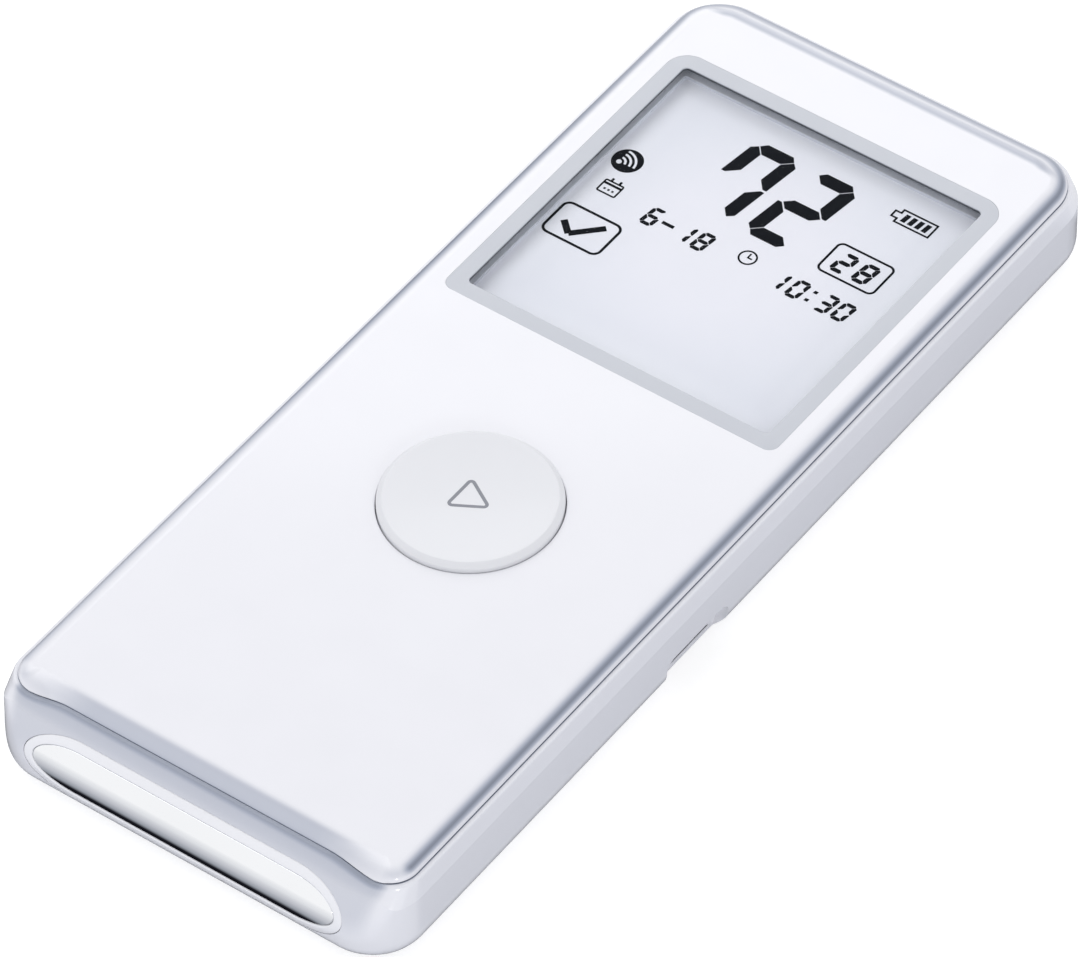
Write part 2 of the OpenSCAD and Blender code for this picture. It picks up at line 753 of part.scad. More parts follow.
module lower_case() {
    color(WHITE_SHELL)
    difference() {
        union() {
            difference() {
                case_form();
                cover_outline(fit_gap, part_z, case_h + cut_past);
                difference() {
                    cavity_form();
                    at_near_face() electrode_seat(near_face_r);
                    at_far_face() electrode_seat(far_face_r);
                    socket_surround();
                }
            }
            for (sx = [-1, 1], sy = [-1, 1])
                translate([sx * screw_x, sy * screw_y, floor_t - slice_t])
                    cylinder(h = pillar_h - floor_t + slice_t, r = pillar_d / 2, $fn = round_fn);
            for (sx = [-1, 1])
                board_posts(sx);
            battery_ribs();
            contact_peg();
        }
        at_near_face() electrode_cut(near_face_r, near_cut_from);
        at_far_face() electrode_cut(far_face_r, 0);
        socket_recess();
        for (sx = [-1, 1], sy = [-1, 1])
            translate([sx * screw_x, sy * screw_y, 0])
                screw_hole();
        for (sx = [-1, 1])
            translate([sx * board_screw_x, board_screw_y, board_z - board_screw_len + board_t - cut_past])
                cylinder(h = board_screw_len + 2 * cut_past, r = board_screw_d / 2 + fit_gap, $fn = round_fn);
    }
}

module screw_hole() {
    translate([0, 0, -cut_past])
        cylinder(h = screw_seat + cut_past, r = screw_head_d / 2 + slip_gap, $fn = round_fn);
    cylinder(h = pillar_h + cut_past, r = screw_r + slip_gap, $fn = round_fn);
}

module board_posts(sx) {
    post_h = board_z - floor_t;
    translate([sx * board_screw_x, board_screw_y, floor_t - slice_t])
        cylinder(h = post_h + slice_t, r = post_d / 2, $fn = round_fn);
    translate([sx * board_screw_x, board_pin_y, floor_t - slice_t])
        cylinder(h = post_h + slice_t, r = post_d / 2, $fn = round_fn);
    translate([sx * board_screw_x, board_pin_y, floor_t])
        cylinder(h = post_h + board_t, r = pin_d / 2, $fn = round_fn);
}

module battery_ribs() {
    bay_x = battery_w / 2 + slip_gap;
    bay_y0 = battery_y0 - slip_gap;
    bay_y1 = battery_y1 + slip_gap;
    for (sx = [-1, 1]) {
        translate([sx * (bay_x + rib_t / 2) - rib_t / 2, bay_y0, floor_t - slice_t])
            cube([rib_t, bay_y1 - bay_y0, rib_h]);
        for (y = [bay_y0 - rib_t, bay_y1])
            translate([sx * (bay_x + rib_t - rib_end_len / 2) - rib_end_len / 2, y, floor_t - slice_t])
                cube([rib_end_len, rib_t, rib_h]);
    }
}

// Block that thickens the side wall round the socket's mouth
module socket_surround() {
    translate([recess_x - surround_t, socket_y - recess_len / 2, floor_t - slice_t])
        cube([surround_t + recess_depth, recess_len, recess_h]);
}

module socket_recess() {
    translate([recess_x, socket_y, socket_mid_z])
        rotate([90, 0, 90])
            linear_extrude(far_out)
                rounded_rect(recess_len, recess_h, recess_r);
    translate([socket_mouth_x - socket_depth - fit_gap, socket_y - socket_w / 2 - fit_gap, socket_z - fit_gap])
        cube([socket_depth + 2 * fit_gap + cut_past, socket_w + 2 * fit_gap, socket_h + 2 * fit_gap]);
}

// Peg that locates the near contact's foot
module contact_peg() {
    translate([0, near_contact_foot_y, floor_t - slice_t])
        cylinder(h = contact_t + slice_t, r = peg_d / 2, $fn = round_fn);
}

// Display parts

module at_display(z) {
    translate([0, display_y, z])
        children();
}

module display_bezel() {
    color(BEZEL_GREY)
    at_display(cover_under_z)
    difference() {
        linear_extrude(cover_t)
            rounded_rect(bezel_w, bezel_len, bezel_corner_r);
        translate([0, 0, -cut_past])
            linear_extrude(cover_t + 2 * cut_past)
                rounded_rect(window_w, window_len, window_corner_r);
        translate([0, 0, -cut_past])
            plate(window_plate_w + 2 * fit_gap, window_plate_len + 2 * fit_gap, window_t + cut_past);
    }
}

module display_window() {
    color([0.92, 0.95, 0.98, 0.3])
    at_display(window_under_z)
        plate(window_plate_w, window_plate_len, window_t);
}

module display_gasket() {
    color(CHIP_BLACK)
    at_display(gasket_z)
        frame_ring(cell_w, cell_len, gasket_w, gasket_t);
}

module front_polarizer() {
    color([0.86, 0.88, 0.93])
    translate([0, display_y + glass_step / 2, front_film_z])
        plate(cell_w, cell_len - glass_step, film_t);
}

module front_glass() {
    color([0.84, 0.87, 0.92, 0.5])
    translate([0, display_y + glass_step / 2, front_glass_z])
        plate(cell_w, cell_len - glass_step, glass_t);
}

module rear_glass() {
    color([0.82, 0.86, 0.92, 0.5])
    at_display(rear_glass_z)
        plate(cell_w, cell_len, glass_t);
}

module rear_polarizer() {
    color([0.80, 0.82, 0.88])
    at_display(rear_film_z)
        plate(cell_w, cell_len, film_t);
}

module light_guide() {
    color([0.90, 0.92, 0.97])
    at_display(guide_z)
        plate(cell_w, cell_len, guide_t);
}

module display_frame() {
    flex_gap_w = flex_w + 2 * run_gap;
    notch_z = front_glass_z - slip_gap;
    color([0.85, 0.86, 0.88])
    difference() {
        union() {
            at_display(board_top)
                frame_ring(bezel_w, bezel_len, frame_wall, cover_under_z - board_top);
            at_display(ledge_z)
                frame_ring(bezel_w - frame_wall, bezel_len - frame_wall, ledge_w + frame_wall / 2, ledge_t);
        }
        translate([-flex_gap_w / 2, frame_near_y - cut_past, notch_z])
            cube([flex_gap_w, frame_wall + cut_past + slip_gap, cover_under_z - notch_z + cut_past]);
    }
}

// Runs from the rear glass's contacts over the frame's notch and down to its connector
module display_flex() {
    glass_y = display_y - cell_len / 2;
    out_y = frame_near_y - run_gap - flex_t;
    mid_z = front_glass_z + flex_t / 2;
    top_z = board_top + connector_h + flex_t / 2;
    color(AMBER_FILM)
    bent_strip([
        [glass_y + glass_step - run_gap - flex_t, mid_z],
        [out_y, mid_z],
        [out_y, top_z],
        [out_y - connector_len, top_z]
    ], flex_t, flex_w);
}

module flex_connector() {
    color([0.88, 0.86, 0.80])
    translate([0, frame_near_y - 2 * run_gap - connector_len / 2, board_top])
        plate(flex_w + 2 * header_wall, connector_len, connector_h);
}

// Start button

function button_profile() = concat(
    [for (i = [0 : arc_steps])
        let (r = dish_r * i / arc_steps)
        [r, button_top_z - dish_depth * (1 - pow(r / dish_r, 2))]],
    [
        [button_r, button_top_z - button_bevel],
        [button_r, flange_top_z],
        [flange_r, flange_top_z],
        [flange_r, flange_z],
        [button_r - button_wall, flange_z],
        [button_r - button_wall, button_hollow_z],
        [stem_r, button_hollow_z],
        [stem_r, collar_z + collar_t],
        [collar_d / 2, collar_z + collar_t],
        [collar_d / 2, collar_z],
        [stem_r, collar_z],
        [stem_r, stem_z],
        [0, stem_z]
    ]
);

module start_button() {
    color(WHITE_SHELL)
    translate([0, button_y, 0])
        rotate_extrude($fn = round_fn)
            polygon(button_profile());
}

// Rubber dome: a foot on the board, a leaning wall and a crown under the stem's collar
module return_dome() {
    color([0.75, 0.77, 0.80])
    translate([0, button_y, board_top])
        rotate_extrude($fn = round_fn)
            polygon([
                [dome_foot_r - 2 * dome_wall, 0],
                [dome_foot_r, 0],
                [dome_foot_r, dome_foot_t],
                [dome_foot_r - dome_wall, dome_foot_t],
                [dome_crown_r, dome_h],
                [dome_hole_r, dome_h],
                [dome_hole_r, dome_h - dome_wall],
                [dome_crown_r - dome_wall, dome_h - dome_wall]
            ]);
}

module switch_body() {
    color(CHIP_BLACK)
    translate([0, button_y, board_top])
    difference() {
        plate(switch_w, switch_w, switch_h);
        translate([0, 0, switch_h - plunger_bore_depth])
            cylinder(h = plunger_bore_depth + cut_past, r = plunger_bore_r, $fn = round_fn);
    }
}

module switch_plunger() {
    color([0.85, 0.82, 0.74])
    translate([0, button_y, switch_top - plunger_tail])
        cylinder(h = plunger_tail + plunger_rise, r = plunger_r, $fn = round_fn);
}

// Main board and what it carries

module main_board() {
    color(BOARD_GREEN)
    difference() {
        union() {
            translate([-board_w / 2, board_near_y, board_z])
                cube([board_w, board_far_y - board_near_y, board_t]);
            translate([-tongue_w / 2, board_far_y - slice_t, board_z])
                cube([tongue_w, tongue_len + slice_t, board_t]);
        }
        for (sx = [-1, 1]) {
            translate([sx * board_screw_x, board_screw_y, board_z - cut_past])
                cylinder(h = board_t + 2 * cut_past, r = board_screw_d / 2 + slip_gap, $fn = round_fn);
            translate([sx * board_screw_x, board_pin_y, board_z - cut_past])
                cylinder(h = board_t + 2 * cut_past, r = pin_d / 2 + fit_gap, $fn = round_fn);
            translate([sx * screw_x, screw_y, board_z - cut_past])
                cylinder(h = board_t + 2 * cut_past, r = pillar_d / 2 + run_gap, $fn = round_fn);
        }
    }
}

module chip(x, y, w, len) {
    color(CHIP_BLACK)
    translate([x, y, board_z - chip_h])
        plate(w, len, chip_h);
}

module processor() {
    chip(-chip_column, display_y - chip_row, processor_w, processor_w);
}

module heart_amplifier() {
    chip(chip_column, display_y - chip_row, amplifier_w, amplifier_w);
}

module memory_chip() {
    chip(-chip_column, display_y, memory_w, memory_len);
}

module charging_chip() {
    chip(chip_column, display_y, charger_w, charger_w);
}

module clock_crystal() {
    color(STEEL)
    translate([0, display_y - chip_row, board_z - chip_h])
        plate(crystal_w, crystal_len, chip_h);
}

module radio_module() {
    color(BOARD_GREEN)
    translate([-chip_column, radio_y, board_z - radio_t])
        plate(radio_w, radio_len, radio_t);
}

module radio_shield() {
    shield_w = radio_w - 2 * shield_inset;
    color(STEEL)
    translate([-chip_column, radio_y, board_z - radio_t - shield_h])
    difference() {
        plate(shield_w, shield_len, shield_h);
        translate([0, 0, shield_t])
            plate(shield_w - 2 * shield_t, shield_len - 2 * shield_t, shield_h);
    }
}

module small_components() {
    color([0.62, 0.55, 0.45])
    for (i = [0 : passive_count - 1])
        translate([passive_column, display_y + (i - (passive_count - 1) / 2) * passive_pitch, board_z - passive_w])
            plate(passive_len, passive_w, passive_w);
}

// Charging socket

module usb_socket() {
    color(STEEL)
    translate([socket_mouth_x - socket_depth, socket_y - socket_w / 2, socket_z])
    difference() {
        cube([socket_depth, socket_w, socket_h]);
        translate([socket_sheet, socket_sheet, socket_sheet])
            cube([socket_depth, socket_w - 2 * socket_sheet, socket_h - 2 * socket_sheet]);
    }
}

module usb_tongue() {
    tongue_span = socket_w - 2 * (socket_sheet + contact_tongue_space);
    color(CHIP_BLACK)
    translate([socket_mouth_x - socket_depth + socket_sheet, socket_y - tongue_span / 2, socket_mid_z])
        cube([socket_depth - socket_sheet - contact_tongue_space, tongue_span, contact_tongue_t]);
}

// Battery

module battery_cell() {
    color([0.70, 0.72, 0.76])
    translate([0, battery_y1, battery_z + battery_t / 2])
        rotate([90, 0, 0])
            linear_extrude(battery_len)
                rounded_rect(battery_w, battery_t, battery_edge_r);
}

module battery_pad() {
    pad_w = battery_w - 2 * battery_edge_r;
    color([0.25, 0.26, 0.28])
    translate([0, battery_y, floor_t])
        plate(pad_w, battery_len - 2 * pad_inset, pad_t);
}

module battery_leads() {
    color([0.75, 0.15, 0.12])
    for (sx = [-1, 1])
        translate([header_x + sx * lead_pitch / 2, battery_y1, plug_mid_z])
            rotate([-90, 0, 0])
                cylinder(h = plug_y0 - battery_y1, r = lead_d / 2, $fn = round_fn);
}

module battery_plug() {
    color([0.92, 0.91, 0.86])
    translate([header_x - plug_w / 2, plug_y0, plug_z])
        cube([plug_w, plug_len, plug_h]);
}

module battery_header() {
    outer_w = plug_w + 2 * (slip_gap + header_wall);
    outer_h = plug_h + 2 * (slip_gap + header_wall);
    color([0.90, 0.88, 0.82])
    difference() {
        translate([header_x - outer_w / 2, header_y0, board_top])
            cube([outer_w, header_len, outer_h]);
        translate([header_x - plug_w / 2 - slip_gap, header_y0 - cut_past, plug_z - slip_gap])
            cube([plug_w + 2 * slip_gap, plug_in + slip_gap + cut_past, plug_h + 2 * slip_gap]);
    }
}

// Electrodes and their contacts

module near_electrode() {
    color(STEEL)
    at_near_face() electrode_plate(near_face_r);
}

module near_electrode_ring() {
    color(WHITE_SHELL)
    at_near_face() electrode_ring(near_face_r);
}

module far_electrode() {
    color(STEEL)
    at_far_face() electrode_plate(far_face_r);
}

module far_electrode_ring() {
    color(WHITE_SHELL)
    at_far_face() electrode_ring(far_face_r);
}

module near_contact() {
    color([0.85, 0.70, 0.35])
    difference() {
        bent_strip([
            [near_contact_foot_y + contact_foot / 2, near_contact_z],
            [near_contact_root, near_contact_z],
            near_touch
        ], contact_t, contact_w);
        translate([0, near_contact_foot_y, 0])
            cylinder(h = case_h, r = peg_d / 2 + fit_gap, $fn = round_fn);
    }
}

// Flat lead from the near contact's foot, over the battery and down to the board
module near_lead_strip() {
    low_z = floor_t + contact_t + flex_t / 2;
    rise_y = battery_y0 - slip_gap - flex_t;
    over_z = battery_top + flex_t / 2;
    drop_y = battery_y1 + slip_gap + flex_t;
    end_z = board_top + flex_t / 2;
    color(AMBER_FILM)
    bent_strip([
        [near_contact_foot_y, low_z],
        [rise_y, low_z],
        [rise_y, over_z],
        [drop_y, over_z],
        [drop_y, end_z],
        [board_near_y + strip_landing, end_z]
    ], flex_t, lead_strip_w);
}

module far_contact() {
    color([0.85, 0.70, 0.35])
    bent_strip([
        [tongue_far_y - contact_foot, far_contact_z],
        [tongue_far_y, far_contact_z],
        far_touch
    ], contact_t, contact_w);
}

// Screws

module case_screws() {
    color(STEEL)
    for (sx = [-1, 1], sy = [-1, 1])
        translate([sx * screw_x, sy * screw_y, screw_seat])
        difference() {
            union() {
                translate([0, 0, -screw_head_h])
                    cylinder(h = screw_head_h, r = screw_head_d / 2, $fn = round_fn);
                cylinder(h = screw_len, r = screw_r, $fn = round_fn);
            }
            for (turn = [0, 90])
                translate([0, 0, -screw_head_h - cut_past])
                    rotate([0, 0, turn])
                        plate(cross_w, screw_d, cross_depth + cut_past);
        }
}

module board_screws() {
    color(STEEL)
    for (sx = [-1, 1])
        translate([sx * board_screw_x, board_screw_y, board_top]) {
            cylinder(h = board_head_h, r = board_head_d / 2, $fn = round_fn);
            translate([0, 0, -board_screw_len])
                cylinder(h = board_screw_len + slice_t, r = board_screw_d / 2, $fn = round_fn);
        }
}

top_cover();
lower_case();
display_bezel();
display_window();
display_gasket();
front_polarizer();
front_glass();
rear_glass();
rear_polarizer();
light_guide();
display_frame();
display_flex();
flex_connector();
start_button();
return_dome();
switch_body();
switch_plunger();
main_board();
processor();
heart_amplifier();
memory_chip();
charging_chip();
clock_crystal();
radio_module();
radio_shield();
small_components();
usb_socket();
usb_tongue();
battery_cell();
battery_pad();
battery_leads();
battery_plug();
battery_header();
near_electrode();
near_electrode_ring();
near_contact();
near_lead_strip();
far_electrode();
far_electrode_ring();
far_contact();
case_screws();
board_screws();
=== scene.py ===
from math import atan2, cos, hypot, pi, radians, sin, sqrt

import bpy
from mathutils import Matrix, Vector
from mathutils.bvhtree import BVHTree


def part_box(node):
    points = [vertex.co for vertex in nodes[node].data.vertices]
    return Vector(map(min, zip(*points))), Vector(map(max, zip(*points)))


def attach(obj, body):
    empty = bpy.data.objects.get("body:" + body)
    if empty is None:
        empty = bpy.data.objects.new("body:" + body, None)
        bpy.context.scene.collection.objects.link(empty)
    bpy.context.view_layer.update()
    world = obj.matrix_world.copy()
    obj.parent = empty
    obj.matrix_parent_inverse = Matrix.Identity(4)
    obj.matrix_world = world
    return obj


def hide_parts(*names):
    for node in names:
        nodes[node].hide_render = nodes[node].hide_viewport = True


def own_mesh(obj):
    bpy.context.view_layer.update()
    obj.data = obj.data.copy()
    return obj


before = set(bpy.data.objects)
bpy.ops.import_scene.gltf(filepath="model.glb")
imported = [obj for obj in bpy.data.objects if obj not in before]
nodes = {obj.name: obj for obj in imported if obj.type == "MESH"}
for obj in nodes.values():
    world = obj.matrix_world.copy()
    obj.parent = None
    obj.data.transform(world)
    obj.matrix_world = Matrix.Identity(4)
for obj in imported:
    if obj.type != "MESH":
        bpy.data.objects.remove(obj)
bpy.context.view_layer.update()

MM = 0.001

# ---- sizes, in millimetres


def box_mm(node):
    low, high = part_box(node)
    return low / MM, high / MM


case_low, case_high = box_mm("lower_case")
cover_low, cover_high = box_mm("top_cover")
bezel_low, bezel_high = box_mm("display_bezel")
window_low, window_high = box_mm("display_window")
film_low, film_high = box_mm("front_polarizer")
button_low, button_high = box_mm("start_button")
socket_low, socket_high = box_mm("usb_socket")
dome_low, dome_high = box_mm("return_dome")

SIDE_X, NEAR_Y, FAR_Y = case_high.x, case_low.y, case_high.y
TOP_Z = cover_high.z
BUTTON_TOP = button_high.z
BUTTON_Y = (button_low.y + button_high.y) / 2

FIT = 0.05        # gap round a piece in the opening that is cut for it
CUT_PAST = 1.0    # how far a cutter goes past the skin that it opens

# Lower case, up to the parting line at PART_Z
CASE_CORNER, BOTTOM_EDGE = 6.2, 3.0
PART_Z, CREASE_Z = 9.95, 7.75
RIM_LIP, RIM_FALL = 0.5, 0.15
CASE_WALL, FLOOR_T = 1.8, 1.0
RIM_WALL, RIM_TOP = 1.6, 9.85

# Cover. The brow is the raised stretch of the parting line over the near electrode
PART_X, PART_NEAR, PART_FAR = cover_high.x, cover_low.y, cover_high.y
PART_CORNER, PART_CORNER_NEAR = 5.3, 3.2
EDGE_W, EDGE_W_BROW, EDGE_W_FAR = 2.0, 2.6, 2.9
BROW, BROW_FLAT, BROW_END = 0.95, 16.0, 21.0
LIP_INSET, LIP_T, LIP_Z = 1.7, 1.0, 8.15
GROOVE_Z, UNDER_Z = 9.90, 9.65

# Painted shade on the white plastic: on the straight side walls, and in the groove and on its
# edge
WALL_PAINTED_SHADE = 0.05
GROOVE_PAINTED_SHADE, GROOVE_EDGE_PAINTED_SHADE = 0.25, 0.45

# Display
BEZEL_CENTRE = ((bezel_low.x + bezel_high.x) / 2, (bezel_low.y + bezel_high.y) / 2)
BEZEL_SIZE = (bezel_high.x - bezel_low.x, bezel_high.y - bezel_low.y)
BEZEL_CORNER, BEZEL_CORNER_NEAR = 2.6, 1.2
BEZEL_BORDER, BEZEL_EDGE = 1.9, 0.1
WINDOW_CORNER = 0.6

# Start button: radii and heights of its turned profile
BUTTON_R = 9.45
BORE_R, BORE_EDGE = 9.54, 0.12
FLANGE_R, FLANGE_TOP = button_high.x, 9.6
DISH_R, DISH_DEPTH = 8.8, 0.25
BEVEL_DROP = 0.42
BUTTON_UNDER = [(0, 7.75), (1.7, 7.75), (1.7, 8.55), (4.9, 8.55), (4.9, 9.35), (1.7, 9.35),
                (1.7, 10.45), (8.25, 10.45), (8.25, 8.8), (FLANGE_R, 8.8),
                (FLANGE_R, FLANGE_TOP), (BUTTON_R, FLANGE_TOP)]

# Rubber dome under the button
DOME_WALL, DOME_FOOT_T = 0.7, 0.8
DOME_CROWN_R, DOME_HOLE_R = 4.9, 2.05
DOME_EDGE = 0.12

# Electrodes: centre of the curved face, its radius, its tilt, and the outlines
NEAR_FACE = dict(y=NEAR_Y + 7.1, z=3.8, r=7.0, tilt=13.5, out=-1)
FAR_FACE = dict(y=FAR_Y - 11.1, z=5.35, r=11.0, tilt=0.0, out=1)
METAL_LEN, METAL_H, METAL_END = 36.8, 4.9, 5.2
METAL_EDGE, METAL_SIDE = 0.12, 1.2
RING_LEN, RING_H, RING_END = 38.9, 7.0, 6.25
RING_PROUD, RING_DEPTH, RING_GAP = 0.1, 2.0, 0.03

# The near face of the case follows the roll of its electrode's ring, between two angles
NEAR_ROLL = 7.08
NEAR_ROLL_LOW, NEAR_ROLL_HIGH = -11.2, 43.0
NEAR_TOP_Z = NEAR_FACE["z"] + NEAR_ROLL * sin(radians(NEAR_ROLL_HIGH))

# Charging port
PORT_Y = (socket_low.y + socket_high.y) / 2
PORT_Z = 2.225
PORT_LEN, PORT_H, PORT_R = 10.5, 3.85, 1.3
RECESS_X, MOUTH_DEPTH = 23.4, 3.5

# Case screws
SCREW_X, SCREW_Y = 19.2, FAR_Y - 8.0
SCREW_SEAT_R, SCREW_SEAT = 1.85, 1.7

# ---- mesh helpers
# A skin is a list of points in millimetres and a list of faces.


def placed(name, data):
    obj = bpy.data.objects.new(name, data)
    bpy.context.scene.collection.objects.link(obj)
    return obj


def make_object(name, skin, materials, face_slots=None):
    mesh = bpy.data.meshes.new(name)
    mesh.from_pydata([Vector(v) * MM for v in skin[0]], [], skin[1])
    for mat in materials:
        mesh.materials.append(mat)
    if face_slots:
        mesh.polygons.foreach_set("material_index", face_slots)
    mesh.polygons.foreach_set("use_smooth", [True] * len(mesh.polygons))
    mesh.update()
    return placed(name, mesh)


def loft(rings, capped=True):
    """Skin over rings of equal length that run anticlockwise seen from outside the last one."""
    count = len(rings[0])
    verts = [p for ring in rings for p in ring]
    faces = []
    for k in range(0, len(verts) - count, count):
        for j in range(count):
            i = (j + 1) % count
            faces.append((k + j, k + i, k + count + i, k + count + j))
    if capped:
        faces.append(tuple(reversed(range(count))))
        faces.append(tuple(range(len(verts) - count, len(verts))))
    return verts, faces


def tube(rings):
    """Closed skin over rings whose last one joins the first."""
    verts, faces = loft(rings, capped=False)
    count = len(rings[0])
    last = len(verts) - count
    faces += [(last + j, last + (j + 1) % count, (j + 1) % count, j) for j in range(count)]
    return verts, faces


def circle(cx, cy, r, z, count):
    """Level ring of points, anticlockwise from the side of +X."""
    turns = [2 * pi * j / count for j in range(count)]
    return [(cx + r * cos(a), cy + r * sin(a), z) for a in turns]


def cylinder(cx, cy, r, z0, z1):
    return loft([circle(cx, cy, r, z, 48) for z in (z0, z1)])


def turned(profile, count=128):
    """Solid turned about the button's axis, over a profile that starts and ends on it."""
    (_, foot), *middle, (_, head) = profile
    verts = [(0, BUTTON_Y, foot)]
    for r, z in middle:
        verts += circle(0, BUTTON_Y, r, z, count)
    verts.append((0, BUTTON_Y, head))
    top = 1 + (len(middle) - 1) * count
    faces = []
    for j in range(count):
        i = (j + 1) % count
        faces.append((0, 1 + i, 1 + j))
        for k in range(1, top, count):
            faces.append((k + j, k + i, k + count + i, k + count + j))
        faces.append((top + j, top + i, len(verts) - 1))
    return verts, faces


def merged(skins):
    verts, faces = [], []
    for more_verts, more_faces in skins:
        start = len(verts)
        verts += more_verts
        faces += [tuple(start + v for v in face) for face in more_faces]
    return verts, faces


def limited_normals(mesh, limit):
    """Corner normals, averaged by area over the faces that meet at less than the limit."""
    cosine = cos(radians(limit))
    around = [[] for _ in mesh.vertices]
    for poly in mesh.polygons:
        for v in poly.vertices:
            around[v].append(poly.index)
    facts = [(poly.normal.copy(), max(poly.area, 1e-14), poly.material_index)
             for poly in mesh.polygons]
    result = [None] * len(mesh.loops)
    for poly, (own, _, own_slot) in zip(mesh.polygons, facts):
        for loop in poly.loop_indices:
            total = Vector()
            for other in around[mesh.loops[loop].vertex_index]:
                normal, area, slot = facts[other]
                if slot == own_slot and normal.dot(own) > cosine:
                    total += normal * area
            result[loop] = total.normalized() if total.length > 0 else own
    return result


def shaded(name, skin, mat, limit):
    """Object of one material, sharp along edges that turn by more than the limit in degrees."""
    obj = make_object(name, skin, [mat])
    obj.data.normals_split_custom_set(limited_normals(obj.data, limit))
    return obj


def ring_normals(rings, first_cap, last_cap):
    """Normal at each point of a loft, from its neighbours, or from a cap where one is given."""
    count = len(rings[0])
    grid = [[Vector(p) for p in ring] for ring in rings]
    result = []
    for k, ring in enumerate(grid):
        below, above = grid[max(k - 1, 0)], grid[min(k + 1, len(grid) - 1)]
        for j in range(count):
            along = ring[(j + 1) % count] - ring[j - 1]
            result.append(along.cross(above[j] - below[j]).normalized())
    if first_cap:
        result[:count] = [Vector(first_cap)] * count
    if last_cap:
        result[-count:] = [Vector(last_cap)] * count
    return result


def barycentric(p, a, b, c):
    """Shares of a triangle's three corners at a point of it."""
    v0, v1, v2 = b - a, c - a, p - a
    d00, d01, d11 = v0.dot(v0), v0.dot(v1), v1.dot(v1)
    d20, d21 = v2.dot(v0), v2.dot(v1)
    det = d00 * d11 - d01 * d01
    if abs(det) < 1e-30:
        return 1.0, 0.0, 0.0
    v = (d11 * d20 - d01 * d21) / det
    w = (d00 * d21 - d01 * d20) / det
    return 1 - v - w, v, w


def cut_shell(name, mat, rings, tones, caps, cutter):
    """Loft less a cutter; what is left of its skin keeps the uncut form's normals and
    painted-shade tones.
    """
    skin = loft(rings)
    normals = ring_normals(rings, *caps)
    obj = make_object(name, skin, [mat, mat], [0] * len(skin[1]))
    tool = make_object("cutter", cutter, [mat, mat], [1] * len(cutter[1]))
    modifier = obj.modifiers.new("cut", "BOOLEAN")
    modifier.operation = "DIFFERENCE"
    modifier.solver = "EXACT"
    modifier.object = tool
    bpy.context.view_layer.update()
    graph = bpy.context.evaluated_depsgraph_get()
    mesh = bpy.data.meshes.new_from_object(obj.evaluated_get(graph))
    obj.modifiers.remove(modifier)
    obj.data = mesh
    bpy.data.objects.remove(tool)
    mesh.polygons.foreach_set("use_smooth", [True] * len(mesh.polygons))

    verts = [Vector(v) * MM for v in skin[0]]
    tris = [(face[0], face[i], face[i + 1]) for face in skin[1] for i in range(1, len(face) - 1)]
    tree = BVHTree.FromPolygons(verts, tris)
    result = limited_normals(mesh, 35)
    shades = [1.0] * len(mesh.loops)
    for poly in mesh.polygons:
        if poly.material_index != 0:
            continue
        for loop in poly.loop_indices:
            corner = mesh.vertices[mesh.loops[loop].vertex_index].co
            hit, _, index, _ = tree.find_nearest(corner * 0.999 + poly.center * 0.001)
            a, b, c = tris[index]
            w = barycentric(hit, verts[a], verts[b], verts[c])
            normal = normals[a] * w[0] + normals[b] * w[1] + normals[c] * w[2]
            if normal.dot(poly.normal) > 0.5:
                result[loop] = normal.normalized()
            shades[loop] = tones[a] * w[0] + tones[b] * w[1] + tones[c] * w[2]
    mesh.normals_split_custom_set(result)
    # The tone attribute holds painted shade
    layer = mesh.color_attributes.new("tone", "FLOAT_COLOR", "CORNER")
    layer.data.foreach_set("color", [v for t in shades for v in (t, t, t, 1.0)])
    return obj


# ---- outlines

CORNER_STEPS, LONG_STEPS, SHORT_STEPS = 16, 64, 48


def outline(half_x, near, far, r, near_r=None):
    """Points and outward normals of a rounded rectangle, anticlockwise, in fixed numbers."""
    q = near_r or r
    corners = [
        (half_x - r, far - r, r, 0), (-half_x + r, far - r, r, 90),
        (-half_x + q, near + q, q, 180), (half_x - q, near + q, q, 270),
    ]
    points = []
    for number, (*centre, r, start) in enumerate(corners):
        *last_centre, last_r, _ = corners[number - 1]
        turn = [radians(start + 90 * i / CORNER_STEPS) for i in range(CORNER_STEPS)]
        normals = [Vector((cos(a), sin(a))) for a in turn]
        ends = [Vector(c) + normals[0] * q for c, q in ((last_centre, last_r), (centre, r))]
        steps = LONG_STEPS if number % 2 == 0 else SHORT_STEPS
        points += [(ends[0].lerp(ends[1], i / steps), normals[0]) for i in range(steps)]
        points += [(Vector(centre) + n * r, n) for n in normals]
    return points


def rounded_rect(centre, size, r, near_r=None):
    cx, cy = centre
    points = outline(size[0] / 2, -size[1] / 2, size[1] / 2, r, near_r)
    return [(p.x + cx, p.y + cy) for p, _ in points]


def grown(size, d):
    return size[0] + 2 * d, size[1] + 2 * d


def smooth_step(low, high, value):
    s = min(max((value - low) / (high - low), 0.0), 1.0)
    return s * s * (3 - 2 * s)


CREASE = outline(SIDE_X, NEAR_Y, FAR_Y, CASE_CORNER)
PARTING = outline(PART_X, PART_NEAR, PART_FAR, PART_CORNER, PART_CORNER_NEAR)
LIP = outline(PART_X + RIM_LIP, PART_NEAR - RIM_LIP, PART_FAR + RIM_LIP, PART_CORNER + RIM_LIP,
              PART_CORNER_NEAR + RIM_LIP)
